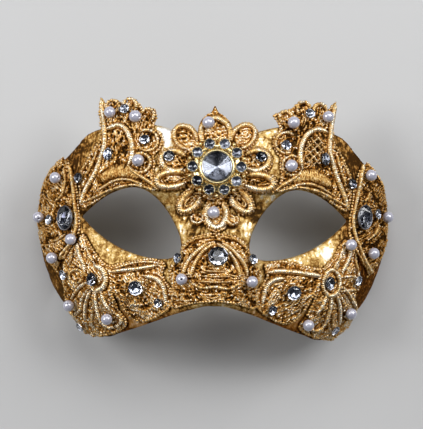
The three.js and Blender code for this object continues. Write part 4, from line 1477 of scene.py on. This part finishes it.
def mottled(name, scale, dark, pale, roughness=None, **plain):
    """A material that varies a little between two colours and, if given, two roughnesses."""
    made, tree, shader = material(name, **plain)
    feed(tree, shader, {"Base Color": mix(tree, noise(tree, scale), (*dark, 1), (*pale, 1))})
    if roughness:
        feed(tree, shader, {"Roughness": stretch(tree, noise(tree, 900.0), 0.3, 0.7, *roughness)})
    return made


def silver_material():
    """Old foil loses its silver, and then the stone looks dark. The tone is how much is left; on the brooch
    it also carries painted reflections.
    """
    made, tree, shader = material("silver foil", Metallic=1.0)
    silver = mix(tree, noise(tree, 90.0), (0.8, 0.85, 0.98, 1), (0.98, 0.99, 1.0, 1))
    gloss = stretch(tree, noise(tree, 150.0), 0.3, 0.7, 0.15, 0.21)
    feed(tree, shader, {
        "Base Color": mix(tree, value_of(tree, "tone"), (0.015, 0.016, 0.024, 1), silver),
        "Roughness": calc(tree, "ADD", gloss, value_of(tree, "dull"))})
    return made


CUT_GLASS = material("cut glass", Base_Color=(0.93, 0.95, 1.0, 1), Roughness=0.0, IOR=1.6,
                     Transmission_Weight=1.0)[0]
SILVER = silver_material()
FROSTED = mottled("frosted foil", 700.0, (0.5, 0.5, 0.62), (0.7, 0.7, 0.84), (0.45, 0.55), Metallic=1.0)
print("stone finishes:", CUT_GLASS.name, SILVER.name, FROSTED.name)
FOIL_SLOPE = 0.25


def brilliant(sides):
    """A cut stone one across: table, star facets, crown, girdle and a shallow pointed back."""
    points = []
    for r, z, turn in ((0.27, 0.15, 0.5), (0.37, 0.1, 0), (0.45, 0.02, 0.5), (0.45, 0.0, 0.5)):
        points += circle_points(r, z, sides, turn)
    points.append((0, 0, -0.45 * FOIL_SLOPE))
    faces = [tuple(range(sides))]
    for k in range(sides):
        m, b, c, d = (k + 1) % sides, sides, 2 * sides, 3 * sides
        faces += [(k, b + m, m), (k, b + k, b + m)]
        faces += [(b + k, c + k, b + m), (b + k, c + (k - 1) % sides, c + k)]
        faces += [(c + k, d + k, d + m, c + m), (d + k, len(points) - 1, d + m)]
    return np.array(points), faces


def step_cut(sides):
    """An oval stone with a large square table, as on the temples."""
    corners = [(0.2, 0.2), (-0.2, 0.2), (-0.2, -0.2), (0.2, -0.2)]
    points = [(x, y, 0.2) for x, y in corners]
    points += circle_points(0.45, 0.04, sides) + circle_points(0.45, 0.0, sides)
    points.append((0, 0, -0.02))
    faces, per_side = [(0, 1, 2, 3)], sides // 4
    for k in range(sides):
        m = (k + 1) % sides
        at = int((k + 0.5 - per_side / 2) // per_side) % 4
        after = int((k + 1.5 - per_side / 2) // per_side) % 4
        faces.append((4 + k, 4 + m, at))
        if after != at:
            faces.append((4 + m, after, at))
        faces.append((4 + k, 4 + sides + k, 4 + sides + m, 4 + m))
        faces.append((4 + sides + k, len(points) - 1, 4 + sides + m))
    return np.array(points), faces


def cup(sides, slope=FOIL_SLOPE):
    """The silver cup behind a stone one across, and the rim that holds it."""
    drop = -slope / 2
    profile = [(0, drop - 0.06), (0.3, drop - 0.04), (0.5, -0.07), (0.53, 0.03), (0.515, 0.07), (0.47, 0.05),
               (0.465, -0.01), (0, drop)]
    return lathe(profile, sides)


def thin_plate(wide, tall, low, high):
    corners = [(-wide, -tall), (wide, -tall), (wide, tall), (-wide, tall)]
    points = [(x, y, z) for z in (low, high) for x, y in corners]
    walls = [(k, (k + 1) % 4, 4 + (k + 1) % 4, 4 + k) for k in range(4)]
    return np.array(points), [(3, 2, 1, 0), (4, 5, 6, 7)] + walls


# %% Make the crystals
SIDES = dict(temple_big=16, nose=9, leaf=10)
NEW_FOIL = 0.6
FOIL_TONES = dict(  # the stones that are darker or brighter than the rest
    petal_left=0.05, petal_right=0.03, fan_left=0.08, fan_right=0.2, temple_top_left=0.2,
    temple_top_right=0.08, brow_oval_right=0.22, temple_big_left=0.02, temple_big_right=0.04,
    temple_small_right=0.42, nose=0.15, horn_left=0.42, horn_right=0.75, brow_round_left=0.46,
    brow_round_right=0.8, cheek_side_left=1.0, cheek_side_right=0.9, cheek_low_left=0.85,
    cheek_low_right=0.95)
BIG_RIM_TONE = 0.28  # of the temple stones, whose rims keep more silver than their backs
DULL_FOILS = dict(temple_big=0.3)
NODS = dict(petal=0.17, nose=0.04)  # these were pressed in a little askew
GIRDLE_UP, TALLER = 0.17, 1.05  # over its seat and along its axis, in widths
FOIL_SHARE = 0.95  # the foil is a little narrower than its stone
FROSTED_INSIDE = "crystal_temple_big_left"  # the one stone with a frosted facet
rng = np.random.default_rng(17)
for node, gem in gems.items():
    if node.startswith("crystal_"):
        kind = crystal_kind(node)
        wide, tall = gem["size"]
        sides = SIDES.get(kind, 8)
        shape = np.array([wide, tall, wide * TALLER])
        lift = SEAT + GIRDLE_UP * wide
        tilt = rng.uniform(0, math.pi) if wide == tall else 0.0
        points, faces = step_cut(sides) if kind == "temple_big" else brilliant(sides)
        nod = NODS.get(kind, 0.0)
        stone = placed(node + "_stone", points * shape, faces, gem["foot"], lift, tilt, False, nod=nod)
        points, faces = cup(sides)
        tone = np.full(len(points), FOIL_TONES.get(node.removeprefix("crystal_"), NEW_FOIL))
        if kind == "temple_big":
            tone[np.hypot(points[:, 0], points[:, 1]) > 0.49] = BIG_RIM_TONE
        values = {"tone": tone, "dull": np.full(len(points), DULL_FOILS.get(kind, 0.0))}
        points = points * shape * [FOIL_SHARE, FOIL_SHARE, 1]
        foil = placed(node + "_foil", points, faces, gem["foot"], lift, tilt, False, values, nod)
        stone.data.materials.append(CUT_GLASS)
        foil.data.materials.append(SILVER)
        pieces = [stone, foil]
        if node == FROSTED_INSIDE:
            points, faces = thin_plate(0.19, 0.15, -0.09, -0.075)
            facet = placed(node + "_facet", (points + [0.0, 0.16, 0]) * shape, faces, gem["foot"], lift,
                           smooth_faces=False)
            facet.data.materials.append(FROSTED)
            pieces.append(facet)
        for piece in pieces:
            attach(piece, "root")
            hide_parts(node)
print("crystals made:", sum(n.startswith("crystal_") for n in gems))

# %% [markdown]
# ## The brooch
# The brooch is a gilt casting: a plate, a bezel round the large pointed stone, and a ring of ten cups,
# each with its own small stone. The ring repeats, so a node tree sets it out round a circle.

# %% Brooch material and the repeating tree
BRASS = mottled("polished gilt brass", 500.0, (0.7, 0.56, 0.27), (0.9, 0.77, 0.46), (0.14, 0.3),
                Metallic=1.0)


def circle_tree():
    tree = bpy.data.node_groups.new("set out round a circle", "GeometryNodeTree")
    take, give = open_sockets(
        tree, [("Geometry", "Geometry"), ("Count", "Int"), ("Radius", "Float"), ("Finish", "Material")],
        [("Geometry", "Geometry")])
    inputs = {"Vertices": take["Count"], "Radius": take["Radius"]}
    circle = add_node(tree, "GeometryNodeMeshCircle", inputs)
    where = add_node(tree, "GeometryNodeInputPosition")
    inputs = {"Primary Axis": where.outputs[0], "Secondary Axis": (0, 0, 1)}
    turned = add_node(tree, "FunctionNodeAxesToRotation", inputs, primary_axis="X", secondary_axis="Z")
    copies = add_node(tree, "GeometryNodeInstanceOnPoints", {
        "Points": circle.outputs[0], "Instance": take["Geometry"], "Rotation": turned.outputs[0]})
    realized(tree, copies.outputs[0], take["Finish"], give)
    return tree


CIRCLE = circle_tree()
print("the circle tree has", len(CIRCLE.nodes), "nodes")
RING_STONES, RING_RADIUS = 10, 11.8
RING_STONE, RING_FOIL = 5.5, 4.9
RING_STONE_UP, RING_FOIL_UP = 4.0, 3.9
STONE, STONE_SHARE = 14.8, 0.985
STONE_UP, FOIL_UP = 4.3, 4.2
BEADS, BEADING_RADIUS, BEADING_UP = 46, 8.5, 3.6
CLAW_RADIUS, CLAW_UP = 2.45, 3.6
GAP_RADIUS = 13.9
BROOCH_AXES, BROOCH_ORIGIN = seat_frame(FLOWER_MIDDLE, 2.6)


def standing(axes, origin):
    """The matrix that turns x, y and z into three axes, and moves them to an origin."""
    return Matrix([[*(axis[i] for axis in axes), origin[i]] for i in range(3)] + [[0, 0, 0, 1]])


def on_brooch(name, points, faces, finish, count=1, radius=0.0, smooth_faces=False, values=None):
    """Builds a shape flat, repeats it round the brooch if asked, and seats it on the flower."""
    made = build_mesh(name, points, faces, values, smooth_faces)
    if count > 1:
        made = grown(made, CIRCLE, Count=count, Radius=radius, Finish=finish)
    else:
        made.data.materials.append(finish)
    made.data.transform(standing(BROOCH_AXES * MM, BROOCH_ORIGIN))
    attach(made, "root")
    return made


# %% The setting
plate = lathe([(0, 0), (11, 0), (11.9, 0.4), (11.9, 0.9), (11, 1.3), (8.8, 1.3), (8.6, 4.1), (8.2, 4.6),
               (7.7, 4.6), (7.45, 4.2), (7.45, 2.3), (0, 2.2)], 64)
rope_beads = [(0, -0.42), (0.3, -0.3), (0.42, 0), (0.3, 0.3), (0, 0.42)]
cup_wall = [(0, 0), (1.4, 0), (2.2, 1.0), (2.75, 2.6), (2.85, 3.9), (2.72, 4.15), (2.58, 3.9), (2.5, 3.2),
            (0, 2.2)]
setting = on_brooch("brooch_setting", *plate, BRASS, smooth_faces=True)
cups = on_brooch("brooch_cups", *lathe(cup_wall, 28), BRASS, RING_STONES, RING_RADIUS, True)
bead_points, bead_faces = lathe(rope_beads, 8)
bead_points += [0, 0, BEADING_UP]
rope = on_brooch("brooch_beading", bead_points, bead_faces, BRASS, BEADS, BEADING_RADIUS, True)


def prongs():
    """Four claws that hold one small stone."""
    claw = [(0, -0.1), (0.34, 0.1), (0.4, 0.5), (0.3, 0.85), (0, 0.95)]
    points, faces = [], []
    for middle in circle_points(CLAW_RADIUS, CLAW_UP, 4, 0.5):
        p, f = lathe(claw, 8)
        faces += [tuple(i + len(points) for i in corners) for corners in f]
        points += list(p + middle)
    return points, faces


claws = on_brooch("brooch_claws", *prongs(), BRASS, RING_STONES, RING_RADIUS, True)
gap_bead = lathe([(0, 0), (0.9, 0.2), (1.05, 1.6), (0.9, 2.6), (0.45, 3.1), (0, 3.25)], 12)
gaps = on_brooch("brooch_gap_beads", *gap_bead, BRASS, RING_STONES, GAP_RADIUS, True)
half_step = Matrix.Rotation(math.pi / RING_STONES, 4, "Z")
seat = standing(BROOCH_AXES, BROOCH_ORIGIN)
gaps.data.transform(seat @ half_step @ seat.inverted())
for piece in (setting, cups, rope, claws, gaps):
    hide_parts("brooch")
    print(piece.name, "has", len(piece.data.polygons), "faces")

# %% The stones of the brooch


def pointed_stone(sides):
    """A stone with a very low point in front and a deeper one behind, one across."""
    points = circle_points(0.5, 0.05, sides) + circle_points(0.5, -0.03, sides)
    points += [(0, 0, 0.056), (0, 0, -0.5 * FOIL_SLOPE)]
    tip, back = 2 * sides, 2 * sides + 1
    faces = []
    for k in range(sides):
        m = (k + 1) % sides
        faces += [(k, m, tip), (k, sides + k, sides + m, m), (sides + m, sides + k, back)]
    return np.array(points), faces


BIG_FOIL_SINKS = 0.045  # its lower side lies flatter, and mirrors the light over the forehead
# the big stone's foil is painted in dark and pale wedges round its middle: painted reflections of the room
BIG_FOIL_ANGLES = [-180, -158, -135, -100, -60, -35, -12, 22, 45, 67, 90, 112, 135, 157, 180]
BIG_FOIL_PAINTED_REFLECTIONS = [0.46, 0.36, 0.12, 0.13, 0.14, 0.16, 0.34, 0.24, 0.7, 0.55, 0.02, 0.5, 0.85, 0.5, 0.46]
RING_FOIL_PAINTED_LIGHT = [0.27, 0.32, 0.46, 0.2, 0.28, 0.12, 0.02, 0.05, 0.15, 0.4]  # painted reflections and shade on each small stone's foil, counter-clockwise from the right
points, faces = pointed_stone(16)
big = on_brooch("brooch_stone_glass", points * STONE * STONE_SHARE + [0, 0, STONE_UP], faces, CUT_GLASS)
points, faces = cup(16)
around = np.degrees(np.arctan2(points[:, 1], points[:, 0]))
inner_rim = np.abs(points[:, 2] + 0.01) < 1e-6
points[:, 2] -= BIG_FOIL_SINKS * inner_rim * np.clip(-np.sin(np.radians(around)), 0, 1)
tone = np.interp(around, BIG_FOIL_ANGLES, BIG_FOIL_PAINTED_REFLECTIONS)
big_foil = on_brooch("brooch_stone_foil", points * STONE * FOIL_SHARE + [0, 0, FOIL_UP], faces, SILVER,
                     values={"tone": tone, "dull": np.full(len(points), 0.1)})
for piece in (big, big_foil):
    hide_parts("brooch_stone")
points, faces = brilliant(8)
small = on_brooch("brooch_ring_stones", points * RING_STONE + [0, 0, RING_STONE_UP], faces, CUT_GLASS,
                  RING_STONES, RING_RADIUS)
points, faces = cup(8)
points[:, 2] += np.random.default_rng(41).uniform(-0.05, 0.05, len(points))  # pressed foil is uneven
values = {"tone": np.zeros(len(points)), "dull": np.full(len(points), 0.14)}
small_foil = on_brooch("brooch_ring_foils", points * RING_FOIL + [0, 0, RING_FOIL_UP], faces, SILVER,
                       RING_STONES, RING_RADIUS, values=values)
from_middle = np.array([vertex.co for vertex in small_foil.data.vertices]) - BROOCH_ORIGIN
around = np.degrees(np.arctan2(from_middle @ BROOCH_AXES[1], from_middle @ BROOCH_AXES[0]))
which = np.round(around / (360 / RING_STONES)).astype(int) % RING_STONES
small_foil.data.attributes["tone"].data.foreach_set("value", np.array(RING_FOIL_PAINTED_LIGHT, np.float32)[which])
for piece in (small, small_foil):
    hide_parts("brooch")
print(f"the brooch has one large stone and {RING_STONES} small ones")

# %% [markdown]
# ## Camera, floor and light
# The mask lies on its back rim on a pale floor, and the camera looks down on it. It stands a little
# to the left of the middle and is turned about a degree, as the proportions on the object show.

# %% Camera
PHOTO_WIDE, PHOTO_TALL = 423, 429
CAMERA_X, CAMERA_HEIGHT = -31.0, 1200.0
FOCAL_PX = 2357.5
AXIS_PX, AXIS_PY = 151.75, 221.5  # where the straight-down ray meets the picture, before the roll
ROLL_ABOUT = (215.3, 221.5)
ROLL = math.radians(1.0)
MIDDLE_HEIGHT = 50  # the camera looks at the middle of the picture this high above the table
SENSOR = 36


def aimed_spot(px, py, z):
    """The place at height z that a pixel shows."""
    dx, dy = px - ROLL_ABOUT[0], py - ROLL_ABOUT[1]
    x = ROLL_ABOUT[0] + dx * math.cos(ROLL) + dy * math.sin(ROLL)
    y = ROLL_ABOUT[1] - dx * math.sin(ROLL) + dy * math.cos(ROLL)
    reach = (CAMERA_HEIGHT - z) / FOCAL_PX
    return Vector((CAMERA_X + (x - AXIS_PX) * reach, (AXIS_PY - y) * reach, z))


stands = Vector((CAMERA_X, 0, CAMERA_HEIGHT))
back = (stands - aimed_spot(PHOTO_WIDE / 2, PHOTO_TALL / 2, MIDDLE_HEIGHT)).normalized()
right = Vector((math.cos(ROLL), math.sin(ROLL), 0))
right = (right - back * right.dot(back)).normalized()
up = back.cross(right)
lens = bpy.data.cameras.new("camera")
lens.sensor_width = SENSOR
lens.lens = SENSOR * FOCAL_PX / PHOTO_TALL
lens.clip_start, lens.clip_end = 0.05, 20
camera = bpy.data.objects.new("camera", lens)
camera.matrix_world = standing((right, up, back), (stands + Vector(SHIFT)) * MM)
scene.collection.objects.link(camera)
scene.camera = camera
print(f"camera {CAMERA_HEIGHT:.0f} mm up, lens {lens.lens:.0f} mm")

# %% [markdown]
# The beads show two soft boxes, left and right, low over the face and slightly towards the
# forehead. The room beyond them is dim, which gives metal and glass their dark tones.

# %% Floor and lights
floor = build_mesh("floor", [(-3, -3, 0), (3, -3, 0), (3, 3, 0), (-3, 3, 0)], [(0, 1, 2, 3)])
floor.data.materials.append(mottled("pale floor", 3.0, (0.5, 0.5, 0.5), (0.54, 0.54, 0.54), Roughness=0.8))


def soft_box(name, direction, reach, size, watts, colour=(1, 1, 1)):
    light = bpy.data.lights.new(name, "AREA")
    light.shape, light.size, light.energy, light.color = "SQUARE", size, watts, colour
    lamp = bpy.data.objects.new(name, light)
    place = Vector(direction).normalized() * reach
    lamp.matrix_world = Matrix.Translation(place) @ place.to_track_quat("Z", "Y").to_matrix().to_4x4()
    scene.collection.objects.link(lamp)


soft_box("left soft box", (-0.72, 0.2, 0.66), 1.0, 0.5, 6.6)
soft_box("right soft box", (0.62, 0.4, 0.67), 1.0, 0.5, 6.6)
soft_box("top soft box", (0, 0.6, 0.78), 1.2, 0.7, 5.0)
world = bpy.data.worlds.new("dim room")
world.use_nodes = True
world.node_tree.nodes["Background"].inputs["Color"].default_value = (0.8, 0.85, 1.0, 1)
world.node_tree.nodes["Background"].inputs["Strength"].default_value = 0.06
scene.world = world
scene.view_settings.view_transform = "Standard"
print("lights:", len(bpy.data.lights))
